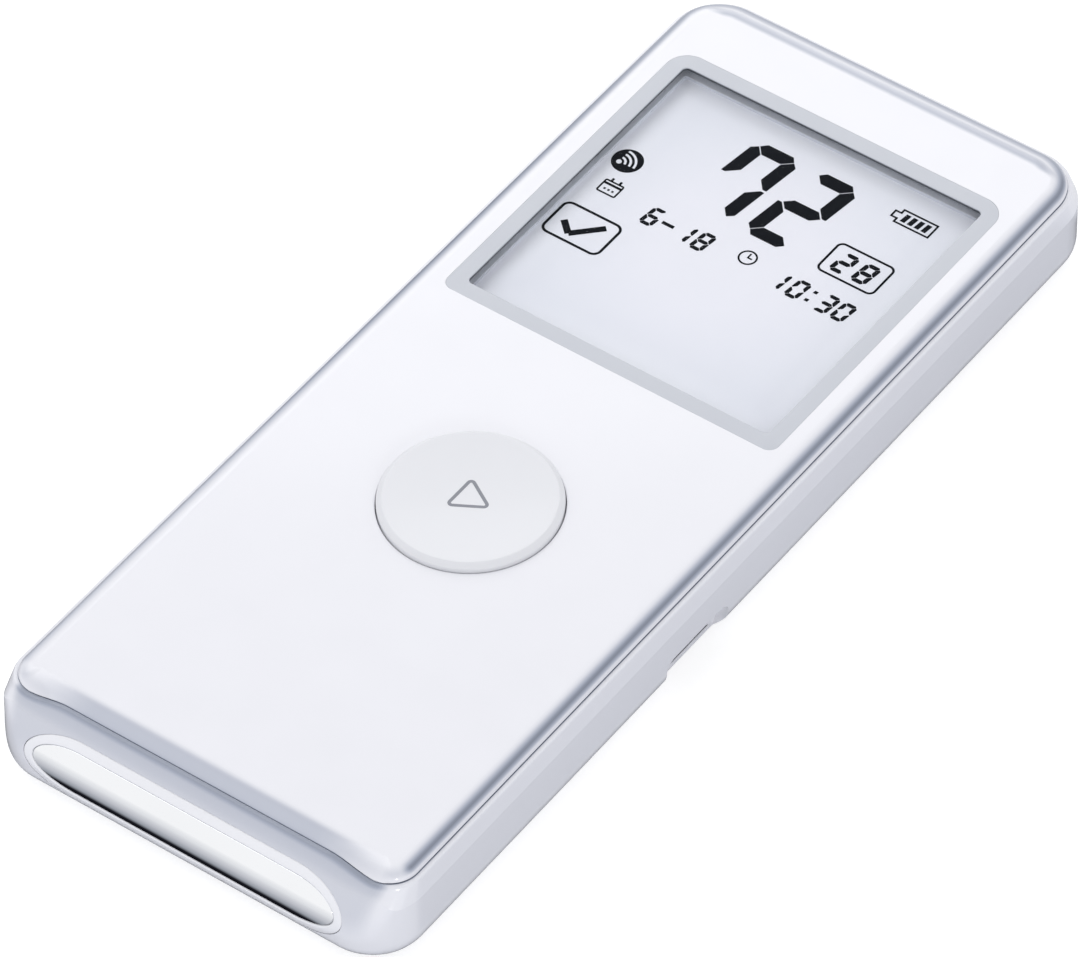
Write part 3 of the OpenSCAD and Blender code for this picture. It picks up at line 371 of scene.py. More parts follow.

# Shares say, for each point of an outline, how far it belongs to a stretch, from 0 to 1:
# the brow, the far end, the near end with and without its corners, the left side, the straight
# walls, and the fade of the edge's painted dark line along the left side
NEAR_PART = PART_NEAR + PART_CORNER + 0.01
SHARES = [smooth_step(BROW_END, BROW_FLAT, abs(p.x)) if p.y <= NEAR_PART else 0.0
          for p, _ in PARTING]
FAR_SHARES = [smooth_step(0.5, 0.95, n.y) for _, n in PARTING]
NEAR_SHARES = [smooth_step(0.45, 0.95, -n.y) for _, n in CREASE]
# The shares of the turn, the grey brow band, the straight walls and the left side's fade place
# painted shade only
TURN_SHADE_SHARES = [smooth_step(0.10, 0.55, -n.y) for _, n in PARTING]
BAND_SHARES = [smooth_step(0.80, 0.98, -n.y) for _, n in PARTING]
BROW_SHADE_SHARES = [share * smooth_step(22.5, 13.0, abs(p.x))
               for share, (p, _) in zip(BAND_SHARES, PARTING)]
WALL_SHADE_SHARES = [smooth_step(0.986, 0.996, abs(n.x)) for _, n in CREASE]
LEFT_SHADE_FADE = [smooth_step(0.5, 0.95, -n.x) * (0.1 + 0.4 * smooth_step(20, -40, p.y))
             for p, n in PARTING]


def at(value, j):
    """A number, or what a function gives for the point of that number."""
    return value(j) if callable(value) else value


def inset_ring(base, inset, z):
    """Ring at a distance inside an outline."""
    return [(p.x - n.x * at(inset, j), p.y - n.y * at(inset, j), at(z, j))
            for j, (p, n) in enumerate(base)]


def part_top(j):
    """Height of the parting line."""
    return PART_Z + BROW * SHARES[j]


def mixed(level, brow):
    """Value that goes from the level stretches to the raised brow."""
    return lambda j: level * (1 - SHARES[j]) + brow * SHARES[j]


def mixed_z(level, brow):
    """The same, as a height over the parting line."""
    return lambda j: part_top(j) + level * (1 - SHARES[j]) + brow * SHARES[j]


def painted_band_shade(level, near):
    """Painted shade that goes from the sides to the near end; a white side is painted darker off
    its corners.
    """
    def value(j):
        side = level - (WALL_PAINTED_SHADE if level == 1.0 else 0.0) * WALL_SHADE_SHARES[j]
        return side * (1 - BAND_SHARES[j]) + near * BAND_SHARES[j]
    return value


def table(rows, value):
    """Value between the rows of a table of (where, what)."""
    value = max(value, rows[0][0])
    for (x0, y0), (x1, y1) in zip(rows, rows[1:]):
        if value <= x1:
            return y0 + (y1 - y0) * (value - x0) / (x1 - x0)
    return rows[-1][1]


# ---- electrodes' outlines

OVAL_TURN, OVAL_RUN = 40, 60


def oval(length, height, end):
    """Long oval with elliptical ends, anticlockwise, as (x, v) points."""
    points = []
    half = length / 2 - end
    for side, start in ((1, -90), (-1, 90)):
        for i in range(OVAL_TURN):
            a = radians(start + 180 * i / OVAL_TURN)
            points.append((side * half + end * cos(a), height / 2 * sin(a)))
        for i in range(OVAL_RUN):
            points.append((side * (half - 2 * half * i / OVAL_RUN), side * height / 2))
    return points


def on_face(face, x, v, u):
    """Point at x, v across and u out along an electrode's own axis."""
    a = radians(face["tilt"])
    out = u * cos(a) - v * sin(a)
    up = u * sin(a) + v * cos(a)
    return x if face["out"] < 0 else -x, face["y"] + face["out"] * out, face["z"] + up


def roll(radius, v):
    """How far out a face of that radius is at height v."""
    return sqrt(max(radius * radius - v * v, 0.0))


def level_ring(face, points, u):
    return [on_face(face, x, v, u) for x, v in points]


# ---- materials

COLOUR_SCALE, ROUGH_SCALE = 90.0, 240.0
BUMP_DISTANCE = 0.00002
COAT_ROUGHNESS = 0.06


def plug(tree, made, sockets):
    """Gives the named sockets of a node their values, or links from other sockets."""
    for key, value in sockets.items():
        if isinstance(value, bpy.types.NodeSocket):
            tree.links.new(value, made.inputs[key])
        else:
            made.inputs[key].default_value = value


def node(tree, kind, sockets=None, **settings):
    made = tree.nodes.new("ShaderNode" + kind)
    for key, value in settings.items():
        setattr(made, key, value)
    plug(tree, made, sockets or {})
    return made


def material(name):
    """New material with its node tree, its shader and the object's own coordinates."""
    mat = bpy.data.materials.new(name)
    mat.use_nodes = True
    tree = mat.node_tree
    coords = node(tree, "TexCoord").outputs["Object"]
    return mat, tree, tree.nodes["Principled BSDF"], coords


def axes(tree, coords):
    return node(tree, "SeparateXYZ", {"Vector": coords}).outputs


def maths(tree, operation, *values):
    return node(tree, "Math", dict(enumerate(values)), operation=operation).outputs[0]


def span_of(tree, source, low, high, to_low=0.0, to_high=1.0, **settings):
    """Value carried over from one range to another."""
    sockets = {"Value": source, "From Min": low, "From Max": high, "To Min": to_low,
               "To Max": to_high}
    return node(tree, "MapRange", sockets, **settings).outputs["Result"]


def ramp_of(tree, source, stops):
    """Colour ramp over a value, with stops of (place, colour)."""
    ramp = node(tree, "ValToRGB", {"Fac": source})
    elements = ramp.color_ramp.elements
    while len(elements) < len(stops):
        elements.new(0.5)
    for element, (place, colour) in zip(elements, stops):
        element.position = place
        element.color = list(colour) + [1]
    return ramp.outputs["Color"]


def multiplied(tree, first, second, amount=1.0):
    mix = node(tree, "Mix", {"Factor": amount, "A": first, "B": second},
               data_type="RGBA", blend_type="MULTIPLY")
    return mix.outputs["Result"]


def noise(tree, coords, scale, detail):
    sockets = {"Vector": coords, "Scale": scale, "Detail": detail}
    return node(tree, "TexNoise", sockets).outputs["Fac"]


def drifting(tree, coords, rough, scale):
    """Roughness that drifts between two values over the surface."""
    return span_of(tree, noise(tree, coords, scale, 6.0), 0.3, 0.7, *rough)


def moulded(name, colour, rough=(0.2, 0.3), spread=0.012, bump=0.04, coat=0.0, metal=0.0,
            stretch=None, grain=2600.0, specular=0.5):
    """Plastic, rubber, film or metal with a slow drift of colour and a fine grain."""
    mat, tree, shader, coords = material(name)
    drift = ramp_of(tree, noise(tree, coords, COLOUR_SCALE, 4.0), (
        (0.3, [c * (1 - spread) for c in colour]),
        (0.7, [min(c * (1 + spread), 1) for c in colour])))
    plug(tree, shader, {
        "Base Color": drift, "Roughness": drifting(tree, coords, rough, ROUGH_SCALE),
        "Metallic": metal, "Specular IOR Level": specular})
    if stretch:
        coords = node(tree, "Mapping", {"Scale": stretch, "Vector": coords}).outputs["Vector"]
    fine = node(tree, "Bump", {"Strength": bump, "Distance": BUMP_DISTANCE,
                               "Height": noise(tree, coords, grain, 3.0)})
    plug(tree, shader, {"Normal": fine.outputs["Normal"]})
    if coat:
        plug(tree, shader, {"Coat Weight": coat, "Coat Roughness": COAT_ROUGHNESS})
    return mat


def darkened(mat, source, stops):
    """Multiplies a material's colour by a ramp over a value."""
    tree = mat.node_tree
    base = tree.nodes["Principled BSDF"].inputs["Base Color"]
    ramp = ramp_of(tree, source, stops)
    tree.links.new(multiplied(tree, base.links[0].from_socket, ramp), base)
    return mat


def with_painted_shade(mat):
    """Darkens a material by the painted shade in the mesh's tone, from deep grey at 0 to its own
    colour at 1.
    """
    tone = node(mat.node_tree, "Attribute", attribute_name="tone").outputs["Fac"]
    return darkened(mat, tone, (
        (0.0, (0.02, 0.04, 0.07)), (0.5, (0.45, 0.485, 0.56)), (1.0, (1, 1, 1))))


def step_painted_shade(mat):
    """Darkens the step inside the bezel's edge with painted shade, over the pale wall of the
    window's pocket.
    """
    tree = mat.node_tree
    height = axes(tree, node(tree, "TexCoord").outputs["Object"])["Z"]
    return darkened(mat, span_of(tree, height, UNDER_Z * MM, TOP_Z * MM), (
        (0.0, (1.0, 1.0, 1.0)), (0.54, (1.0, 1.0, 1.0)), (0.62, (0.05, 0.055, 0.065)),
        (0.90, (0.06, 0.065, 0.075)), (0.95, (0.58, 0.583, 0.605))))


def display_distance(tree, place, half_x, half_y, rounded):
    """Distance from the display's middle, 1 at its edge: round, or square as a frame."""
    middle = (film_low + film_high) / 2
    shares = []
    for axis, centre, half in (("X", 0.0, half_x), ("Y", middle.y, half_y)):
        span = span_of(tree, place[axis], centre * MM, (centre + half) * MM, clamp=False)
        shares.append(maths(tree, "POWER", span, 2.0) if rounded
                      else maths(tree, "ABSOLUTE", span))
    both = maths(tree, "ADD" if rounded else "MAXIMUM", *shares)
    return maths(tree, "SQRT", both) if rounded else both


def lcd_material():
    """Pale liquid-crystal face with a painted sheen, brightest in the middle, painted light at
    its very edge, and faint rows.
    """
    mat, tree, shader, coords = material("lcd_face")
    place = axes(tree, coords)
    # Painted sheen: the face is painted brightest in the middle and darker towards its edges
    glow = ramp_of(tree, display_distance(tree, place, 26.0, 27.0, True), (
        (0.0, (0.955, 0.96, 1.0)), (0.32, (0.95, 0.955, 1.0)), (0.70, (0.88, 0.90, 0.95)),
        (1.0, (0.82, 0.84, 0.90))))
    # Painted light: a lighter strip along the very edge stands against the shade of the recess
    rim = ramp_of(tree, display_distance(tree, place, 18.7, 19.2, False), (
        (0.80, (0.90, 0.90, 0.91)), (0.97, (1, 1, 1))))
    rows = node(tree, "TexWave", {"Vector": coords, "Scale": 900.0}, bands_direction="X")
    face = multiplied(tree, multiplied(tree, glow, rim), rows.outputs["Color"], 0.02)
    plug(tree, shader, {"Base Color": face,
                        "Roughness": drifting(tree, coords, (0.45, 0.55), 400.0)})
    return mat


def window_material():
    """Clear plastic window: nearly invisible face on, with a Fresnel gloss."""
    mat, tree, shader, coords = material("window_clear")
    facing = node(tree, "LayerWeight", {"Blend": 0.5}).outputs["Facing"]
    gloss = span_of(tree, maths(tree, "POWER", facing, 4.0), 0.0, 1.0, 0.0, 0.9)
    plug(tree, shader, {"Base Color": (0.80, 0.84, 0.92, 1), "Alpha": gloss,
                        "Roughness": drifting(tree, coords, (0.03, 0.06), 120.0)})
    return mat


# The white shells carry painted shade in their tone attribute
SHELL = with_painted_shade(moulded("shell_white_plastic", (0.84, 0.84, 0.87), (0.16, 0.24), 0.006, 0.02, 0.3))
BUTTON = moulded("button_white_plastic", (0.77, 0.775, 0.795), (0.28, 0.32), 0.004, 0.02, 0.15)
RING = moulded("ring_white_plastic", (0.88, 0.88, 0.90), (0.14, 0.22), 0.006, 0.02, 0.4)
BEZEL = step_painted_shade(moulded("bezel_grey_lacquer", (0.93, 0.96, 1.0), (0.28, 0.36), 0.012, 0.03, 0.2))
CHROME = moulded("electrode_chrome", (0.90, 0.91, 0.93), (0.03, 0.06), 0.01, 0.01, metal=1.0,
                 stretch=(0.1, 1.0, 1.0))
INK = moulded("segment_black", (0.003, 0.004, 0.006), (0.5, 0.6), 0.1, 0.02, specular=0.0)
PRINT = moulded("print_grey", (0.24, 0.25, 0.28), (0.4, 0.5), 0.04, 0.03)
GUIDE = moulded("light_guide_acrylic", (0.80, 0.84, 0.90), (0.1, 0.2), 0.02, 0.02)
FRAME_PLASTIC = moulded("frame_white_nylon", (0.62, 0.64, 0.67), (0.4, 0.5), 0.03, 0.05)
FOAM = moulded("battery_foam", (0.05, 0.05, 0.055), (0.8, 0.95), 0.2, 0.4, grain=1800.0)
GASKET = moulded("gasket_foam", (0.70, 0.72, 0.77), (0.8, 0.95), 0.08, 0.3, grain=1800.0,
                 specular=0.1)
AMBER = moulded("flex_amber_film", (0.55, 0.28, 0.06), (0.25, 0.4), 0.12, 0.05, 0.3)
CREAM = moulded("connector_cream_nylon", (0.74, 0.70, 0.60), (0.4, 0.5), 0.05, 0.06)
RUBBER = moulded("dome_silicone_rubber", (0.50, 0.53, 0.58), (0.5, 0.65), 0.05, 0.1)
BOARD = moulded("board_green_mask", (0.02, 0.13, 0.06), (0.25, 0.4), 0.2, 0.08, 0.3)
CHIP = moulded("chip_black_epoxy", (0.018, 0.018, 0.02), (0.5, 0.62), 0.15, 0.15, grain=3800.0)
TAN = moulded("component_tan_ceramic", (0.36, 0.26, 0.15), (0.35, 0.5), 0.12, 0.08)
SHEET = moulded("sheet_steel", (0.62, 0.63, 0.65), (0.2, 0.34), 0.05, 0.05, metal=1.0,
                stretch=(1.0, 0.08, 1.0))
FOIL = moulded("battery_foil", (0.58, 0.60, 0.64), (0.3, 0.45), 0.06, 0.35, metal=0.9,
               grain=700.0)
LEAD = moulded("battery_lead_red", (0.50, 0.03, 0.02), (0.35, 0.5), 0.08, 0.06)
BRASS = moulded("contact_brass", (0.72, 0.50, 0.20), (0.18, 0.3), 0.05, 0.05, metal=1.0,
                stretch=(0.08, 1.0, 1.0))
SCREW = moulded("screw_steel", (0.55, 0.56, 0.58), (0.22, 0.34), 0.06, 0.06, metal=1.0)
LCD = lcd_material()
WINDOW = window_material()

NODE_MATERIALS = (
    (WINDOW, "display_window"), (GASKET, "display_gasket"),
    (LCD, "front_polarizer rear_polarizer"), (GUIDE, "front_glass rear_glass light_guide"),
    (FRAME_PLASTIC, "display_frame"), (AMBER, "display_flex near_lead_strip"),
    (CREAM, "flex_connector switch_plunger battery_plug battery_header"),
    (CHIP, "switch_body processor heart_amplifier memory_chip charging_chip usb_tongue"),
    (BOARD, "main_board radio_module"), (SHEET, "clock_crystal radio_shield usb_socket"),
    (TAN, "small_components"), (FOIL, "battery_cell"), (FOAM, "battery_pad"),
    (LEAD, "battery_leads"), (BRASS, "near_contact far_contact"),
    (SCREW, "case_screws board_screws"),
)
for mat, names in NODE_MATERIALS:
    for name in names.split():
        slots = nodes[name].data.materials
        if len(slots) == 0:
            slots.append(mat)
        for number in range(len(slots)):
            slots[number] = mat

# ---- lower case

EDGE_STEPS, WALL_STEPS = 12, 14

# Shoulder over the near wall: share of its height, how far its foot runs ahead, and tone, which
# is painted shade under the parting line
SHOULDER = ((0.004, 0.02, 0.78), (0.15, 0.10, 0.75), (0.35, 0.12, 0.71), (0.55, 0.10, 0.69),
            (0.72, 0.06, 0.67), (0.84, 0.03, 0.58), (0.92, 0.01, 0.5))
# Rounded lip of the rim: distance outside the parting line, fall under it, and tone, which is
# painted shade
RIM_ROUND = ((0.47, 0.17, 0.44), (0.42, 0.11, 0.40), (0.34, 0.08, 0.36), (0.2, 0.055, 0.36),
             (0.07, 0.05, 0.36))


def bend(degrees):
    """How far short of a unit rounding's two sides a point at an angle of it is."""
    a = radians(degrees)
    return 1 - sin(a), 1 - cos(a)


def wall_ring(inset, share, z):
    """Ring of the case's outside: inset from the widest line, then a share of the way to LIP.

    Each of the three is a pair, for the sides and for the face round the near electrode.
    """
    ring = []
    for j, (p, n) in enumerate(CREASE):
        e, t, h = (pair[0] + (pair[1] - pair[0]) * NEAR_SHARES[j] for pair in (inset, share, z))
        x, y = (p - n * e).lerp(LIP[j][0], t)
        rise = BROW * SHARES[j] * smooth_step(NEAR_TOP_Z, PART_Z - RIM_FALL, h)
        ring.append((x, y, h + rise))
    return ring


def on_roll(degrees):
    """How far inwards of the near end, and how high, the near face is at an angle of its roll."""
    a = radians(degrees)
    return (NEAR_FACE["y"] - NEAR_ROLL * cos(a) - NEAR_Y,
            NEAR_FACE["z"] + NEAR_ROLL * sin(a))


def case_rings():
    """Rings and painted-shade tones from the back, over the outside and down the inside."""
    rings, tones = [], []

    def add(ring, tone=1.0):
        rings.append(ring)
        tones.extend([at(tone, j) for j in range(len(ring))])

    for i in range(EDGE_STEPS + 1):
        e, h = bend(90 * i / EDGE_STEPS)
        near_e, near_h = bend((90 + NEAR_ROLL_LOW) * i / EDGE_STEPS)
        add(wall_ring((BOTTOM_EDGE * e, BOTTOM_EDGE * near_e + 0.06), (0, 0),
                      (BOTTOM_EDGE * h, BOTTOM_EDGE * near_h)))

    lip_run = PART_NEAR - RIM_LIP - NEAR_Y
    for i in range(1, WALL_STEPS + 1):
        angle = NEAR_ROLL_LOW + (NEAR_ROLL_HIGH - NEAR_ROLL_LOW) * i / WALL_STEPS
        inwards, z = on_roll(angle)
        level = BOTTOM_EDGE + (CREASE_Z - BOTTOM_EDGE) * i / WALL_STEPS
        # The near face is painted darker as it rises: painted shade
        tone = painted_band_shade(1.0, 1.0 - 0.22 * smooth_step(1, 10, i))
        if z < NEAR_FACE["z"]:
            add(wall_ring((0, inwards), (0, 0), (level, z)), tone)
        else:
            add(wall_ring((0, 0), (0, inwards / lip_run), (level, z)), tone)

    start = on_roll(NEAR_ROLL_HIGH)[0] / lip_run
    top = PART_Z - RIM_FALL
    for t, ahead, tone in SHOULDER:
        add(wall_ring((0, 0), (t, start + (1 - start) * min(t + ahead, 1.0)),
                      (CREASE_Z + (top - CREASE_Z) * t, NEAR_TOP_Z + (top - NEAR_TOP_Z) * t)),
            painted_band_shade(1.0, tone))
    for out, fall, tone in RIM_ROUND:
        add(inset_ring(PARTING, -out, mixed_z(-fall, -fall)), painted_band_shade(0.95, tone))
    for inset, z, tone in ((0.0, mixed_z(-0.05, -0.065), GROOVE_EDGE_PAINTED_SHADE),
                           (mixed(0.08, 0.03), mixed_z(-0.05, -0.12), GROOVE_PAINTED_SHADE),
                           (mixed(0.16, 0.05), RIM_TOP, GROOVE_PAINTED_SHADE), (RIM_WALL, RIM_TOP, 1.0)):
        add(inset_ring(PARTING, inset, z), tone)
    add(inset_ring(CREASE, CASE_WALL, CREASE_Z - FLOOR_T))
    inner_edge = BOTTOM_EDGE - FLOOR_T
    for i in range(5):
        h, e = bend(90 * i / 4)
        add(inset_ring(CREASE, CASE_WALL + inner_edge * e, FLOOR_T + inner_edge * h))
    return rings, tones


def oval_cutter(face):
    """Cuts the seat of an electrode's ring."""
    points = oval(RING_LEN + 2 * FIT, RING_H + 2 * FIT, RING_END + FIT)
    front = face["r"] + 0.2
    return loft([level_ring(face, points, u) for u in (face["r"] - RING_DEPTH, front, front + 4)])


def port_cutter():
    """The recess in the side, and behind it the opening that the socket's mouth fills."""
    centre = (PORT_Y, PORT_Z)
    recess = rounded_rect(centre, (PORT_LEN, PORT_H), PORT_R)
    socket = (socket_high.y - socket_low.y, socket_high.z - socket_low.z)
    mouth = rounded_rect(centre, grown(socket, FIT), 0.02)
    rings = ((RECESS_X - MOUTH_DEPTH, mouth), (RECESS_X, mouth), (RECESS_X, recess),
             (SIDE_X + 3, recess))
    return loft([[(x, y, z) for y, z in points] for x, points in rings])


def build_case():
    rings, tones = case_rings()
    cutters = [oval_cutter(NEAR_FACE), oval_cutter(FAR_FACE), port_cutter()]
    for sx in (-1, 1):
        for sy in (-1, 1):
            cutters.append(cylinder(sx * SCREW_X, sy * SCREW_Y, SCREW_SEAT_R, -CUT_PAST,
                                    SCREW_SEAT))
    return cut_shell("case_shell", SHELL, rings, tones, ((0, 0, -1), None), merged(cutters))


# ---- top cover

# Painted shade on the cover's rounded edge: tones against the angle round it, from its foot at
# EDGE_START to the flat top, for the sides, the far end and the brow; at the far end a painted
# highlight ridge lies between two shaded bands
EDGE_START, COVER_STEPS = 7, 26
COVER_EDGE_PAINTED_SHADE = ((7, 0.96), (14, 0.95), (21, 0.90), (30, 0.55), (36, 0.38), (42, 0.26), (48, 0.30),
              (54, 0.46), (60, 0.62), (66, 0.80), (72, 0.93), (80, 1.0))
FAR_EDGE_PAINTED_SHADE_AND_HIGHLIGHT = ((7, 0.9), (30, 0.45), (40, 0.40), (45, 0.57), (50, 0.65), (55, 0.79), (60, 1.0),
             (65, 0.81), (70, 0.67), (75, 0.61), (79, 0.54), (83, 0.67), (87, 0.89), (90, 1.0))
BROW_EDGE_PAINTED_SHADE = ((7, 0.52), (30, 0.58), (64, 0.60), (70, 0.66), (77, 0.86), (83, 0.98), (90, 1.0))


# Painted shade of the cover's edge at a point of the outline and an angle round it
def cover_edge_shade_at(j, angle):
    level = table(COVER_EDGE_PAINTED_SHADE, angle)
    level = 1 - (1 - level) * (1 - LEFT_SHADE_FADE[j]) * (1 - 0.75 * TURN_SHADE_SHARES[j])
    tone = level + (table(FAR_EDGE_PAINTED_SHADE_AND_HIGHLIGHT, angle) - level) * FAR_SHARES[j]
    end = tone + (1 - tone) * BAND_SHARES[j] * 0.5
    return end + (table(BROW_EDGE_PAINTED_SHADE, angle) - end) * BROW_SHADE_SHARES[j]


def edge_ring(angle):
    """Ring of the cover's rounded edge at an angle, upright at 0 and level at 90."""
    a = radians(angle)
    start = mixed(0.005, 0.12)

    def inset(j):
        width = (EDGE_W + (EDGE_W_FAR - EDGE_W) * FAR_SHARES[j]
                 + (EDGE_W_BROW - EDGE_W) * BAND_SHARES[j])
        return start(j) + width * (1 - cos(a))

    def height(j):
        rise = TOP_Z - part_top(j)
        return part_top(j) + rise * sin(a) ** (2 / (2 - BAND_SHARES[j]))

    return inset_ring(PARTING, inset, height)


def cover_rings():
    """Rings and painted-shade tones from the underside, round the lip and over the edge."""
    rings = [inset_ring(PARTING, inset, z) for inset, z in (
        (LIP_INSET + LIP_T, UNDER_Z), (LIP_INSET + LIP_T, LIP_Z), (LIP_INSET, LIP_Z),
        (LIP_INSET, GROOVE_Z), (mixed(0.18, 0.04), GROOVE_Z),
        (mixed(0.12, 0.05), mixed_z(0.02, -0.08)), (mixed(0.04, 0.07), mixed_z(0.06, -0.01)))]
    count = len(PARTING)
    tones = [GROOVE_PAINTED_SHADE] * (count * 6) + [GROOVE_EDGE_PAINTED_SHADE] * count
    for i in range(COVER_STEPS + 1):
        angle = EDGE_START + (90 - EDGE_START) * i / COVER_STEPS
        rings.append(edge_ring(angle))
        tones += [cover_edge_shade_at(j, angle) for j in range(count)]
    return rings, tones


def build_cover():
    rings, tones = cover_rings()
    low, high, e = UNDER_Z - CUT_PAST, TOP_Z + CUT_PAST, BORE_EDGE
    opening = rounded_rect(BEZEL_CENTRE, grown(BEZEL_SIZE, 0.01), BEZEL_CORNER,
                           BEZEL_CORNER_NEAR)
    display_cut = loft([[(x, y, z) for x, y in opening] for z in (low, high)])
    bore = turned([(0, low), (BORE_R, low), (BORE_R, TOP_Z - e),
                   (BORE_R + 0.3 * e, TOP_Z - 0.3 * e), (BORE_R + e, TOP_Z), (BORE_R + e, high),
                   (0, high)])
    return cut_shell("cover_shell", SHELL, rings, tones, (None, (0, 0, 1)),
                     merged([display_cut, bore]))


# ---- bezel, button, electrodes


def build_bezel():
    full, e = BEZEL_SIZE, BEZEL_EDGE
    open_size = grown(full, -BEZEL_BORDER)
    pocket = grown((window_high.x - window_low.x, window_high.y - window_low.y), 0.05)
    step = window_high.z + 0.01

    def ring(size, r, z, near_r=None):
        return [(x, y, z) for x, y in rounded_rect(BEZEL_CENTRE, size, r, near_r)]

    return shaded("bezel_frame", tube([
        ring(full, BEZEL_CORNER, UNDER_Z, BEZEL_CORNER_NEAR),
        ring(full, BEZEL_CORNER, TOP_Z - 0.03, BEZEL_CORNER_NEAR),
        ring(grown(full, -0.02), BEZEL_CORNER, TOP_Z, BEZEL_CORNER_NEAR),
        ring(grown(open_size, e), WINDOW_CORNER + e, TOP_Z),
        ring(grown(open_size, 0.3 * e), WINDOW_CORNER + 0.3 * e, TOP_Z - 0.3 * e),
        ring(open_size, WINDOW_CORNER, TOP_Z - e),
        ring(open_size, WINDOW_CORNER, step),
        ring(pocket, 0.1, step),
        ring(pocket, 0.1, UNDER_Z),
    ]), BEZEL, 50)


def build_button():
    """Button turned upwards from its stem's end, round the outside and over the dished face."""
    rim = BUTTON_TOP
    bevel = rim - BEVEL_DROP
    outside = [(BUTTON_R, bevel - 0.12), (BUTTON_R - 0.015, bevel - 0.05),
               (BUTTON_R - 0.06, bevel + 0.03), (DISH_R + 0.14, rim - 0.05),
               (DISH_R + 0.06, rim - 0.012), (DISH_R, rim)]
    dish = []
    for i in range(1, 24):
        r = DISH_R * (1 - i / 24)
        dish.append((r, rim - DISH_DEPTH * (1 - (r / DISH_R) ** 2)))
    profile = BUTTON_UNDER + outside + dish + [(0, rim - DISH_DEPTH)]
    return shaded("button_cap", turned(profile), BUTTON, 30)


def build_dome():
    """Rubber dome: foot, leaning wall and crown, with its edges rounded."""
    foot, low, high = dome_high.x, dome_low.z, dome_high.z
    foot_top, e = low + DOME_FOOT_T, DOME_EDGE
    profile = [
        (foot - 2 * DOME_WALL, low), (foot, low), (foot, foot_top - e), (foot - e, foot_top),
        (foot - DOME_WALL, foot_top), (DOME_CROWN_R + e, high - e), (DOME_CROWN_R - e, high),
        (DOME_HOLE_R + e, high), (DOME_HOLE_R, high - e), (DOME_HOLE_R, high - DOME_WALL),
        (DOME_CROWN_R - DOME_WALL, high - DOME_WALL),
    ]
    rings = [circle(0, BUTTON_Y, r, z, 96) for r, z in profile]
    return shaded("dome_rubber", tube(rings), RUBBER, 30)


def rounded_polygon(corners, r, steps=8):
    """Convex polygon, anticlockwise, with each corner rounded to radius r."""
    points = []
    for i in range(len(corners)):
        before, corner, after = (Vector(corners[(i + k) % len(corners)]) for k in (-1, 0, 1))
        to_prev, to_next = (before - corner).normalized(), (after - corner).normalized()
        half = to_prev.angle(to_next) / 2
        centre = corner + (to_prev + to_next).normalized() * (r / sin(half))
        start = atan2(to_prev.x, -to_prev.y)
        for k in range(steps + 1):
            a = start + (pi - 2 * half) * k / steps
            points.append((centre.x + r * cos(a), centre.y + r * sin(a)))
    return points


def subdivided(points, length):
    """Closed outline with each side split into stretches of at least that length."""
    result = []
    for i, (x, y) in enumerate(points):
        nx, ny = points[(i + 1) % len(points)]
        steps = max(1, int(hypot(nx - x, ny - y) / length))
        for k in range(steps):
            result.append((x + (nx - x) * k / steps, y + (ny - y) * k / steps))
    return result


def moved_in(points, offset):
    """Anticlockwise outline, each point moved inwards across the line between its neighbours."""
    result = []
    for i, (x, y) in enumerate(points):
        before, after = Vector(points[i - 1]), Vector(points[(i + 1) % len(points)])
        along = (after - before).normalized()
        result.append((x - along.y * offset, y + along.x * offset))
    return result


# Printed figures and symbols are thin plates that stand on what carries them
INK_T = 0.02


def raised(points, place, up):
    """Ring over points that a function carries to their place on a surface."""
    return [(x, y, z + up) for x, y, z in (place(*p) for p in points)]


def band(outer, inner, place):
    """Flat closed band between two outlines of equal length."""
    return tube([raised(points, place, up) for points, up in (
        (outer, 0), (outer, INK_T), (inner, INK_T), (inner, 0))])


def on_dish(x, y):
    r2 = x * x + (y - BUTTON_Y) ** 2
    return x, y, BUTTON_TOP - DISH_DEPTH * (1 - r2 / DISH_R ** 2) - 0.005


def build_symbol():
    """Rounded triangle printed on the button, pointing to the right."""
    corners = [(x, y + BUTTON_Y) for x, y in ((-1.62, 2.5), (-1.62, -2.4), (2.6, 0.05))]
    outer = subdivided(rounded_polygon(corners, 0.5), 0.3)
    return shaded("button_symbol", band(outer, moved_in(outer, 0.36), on_dish), PRINT, 50)


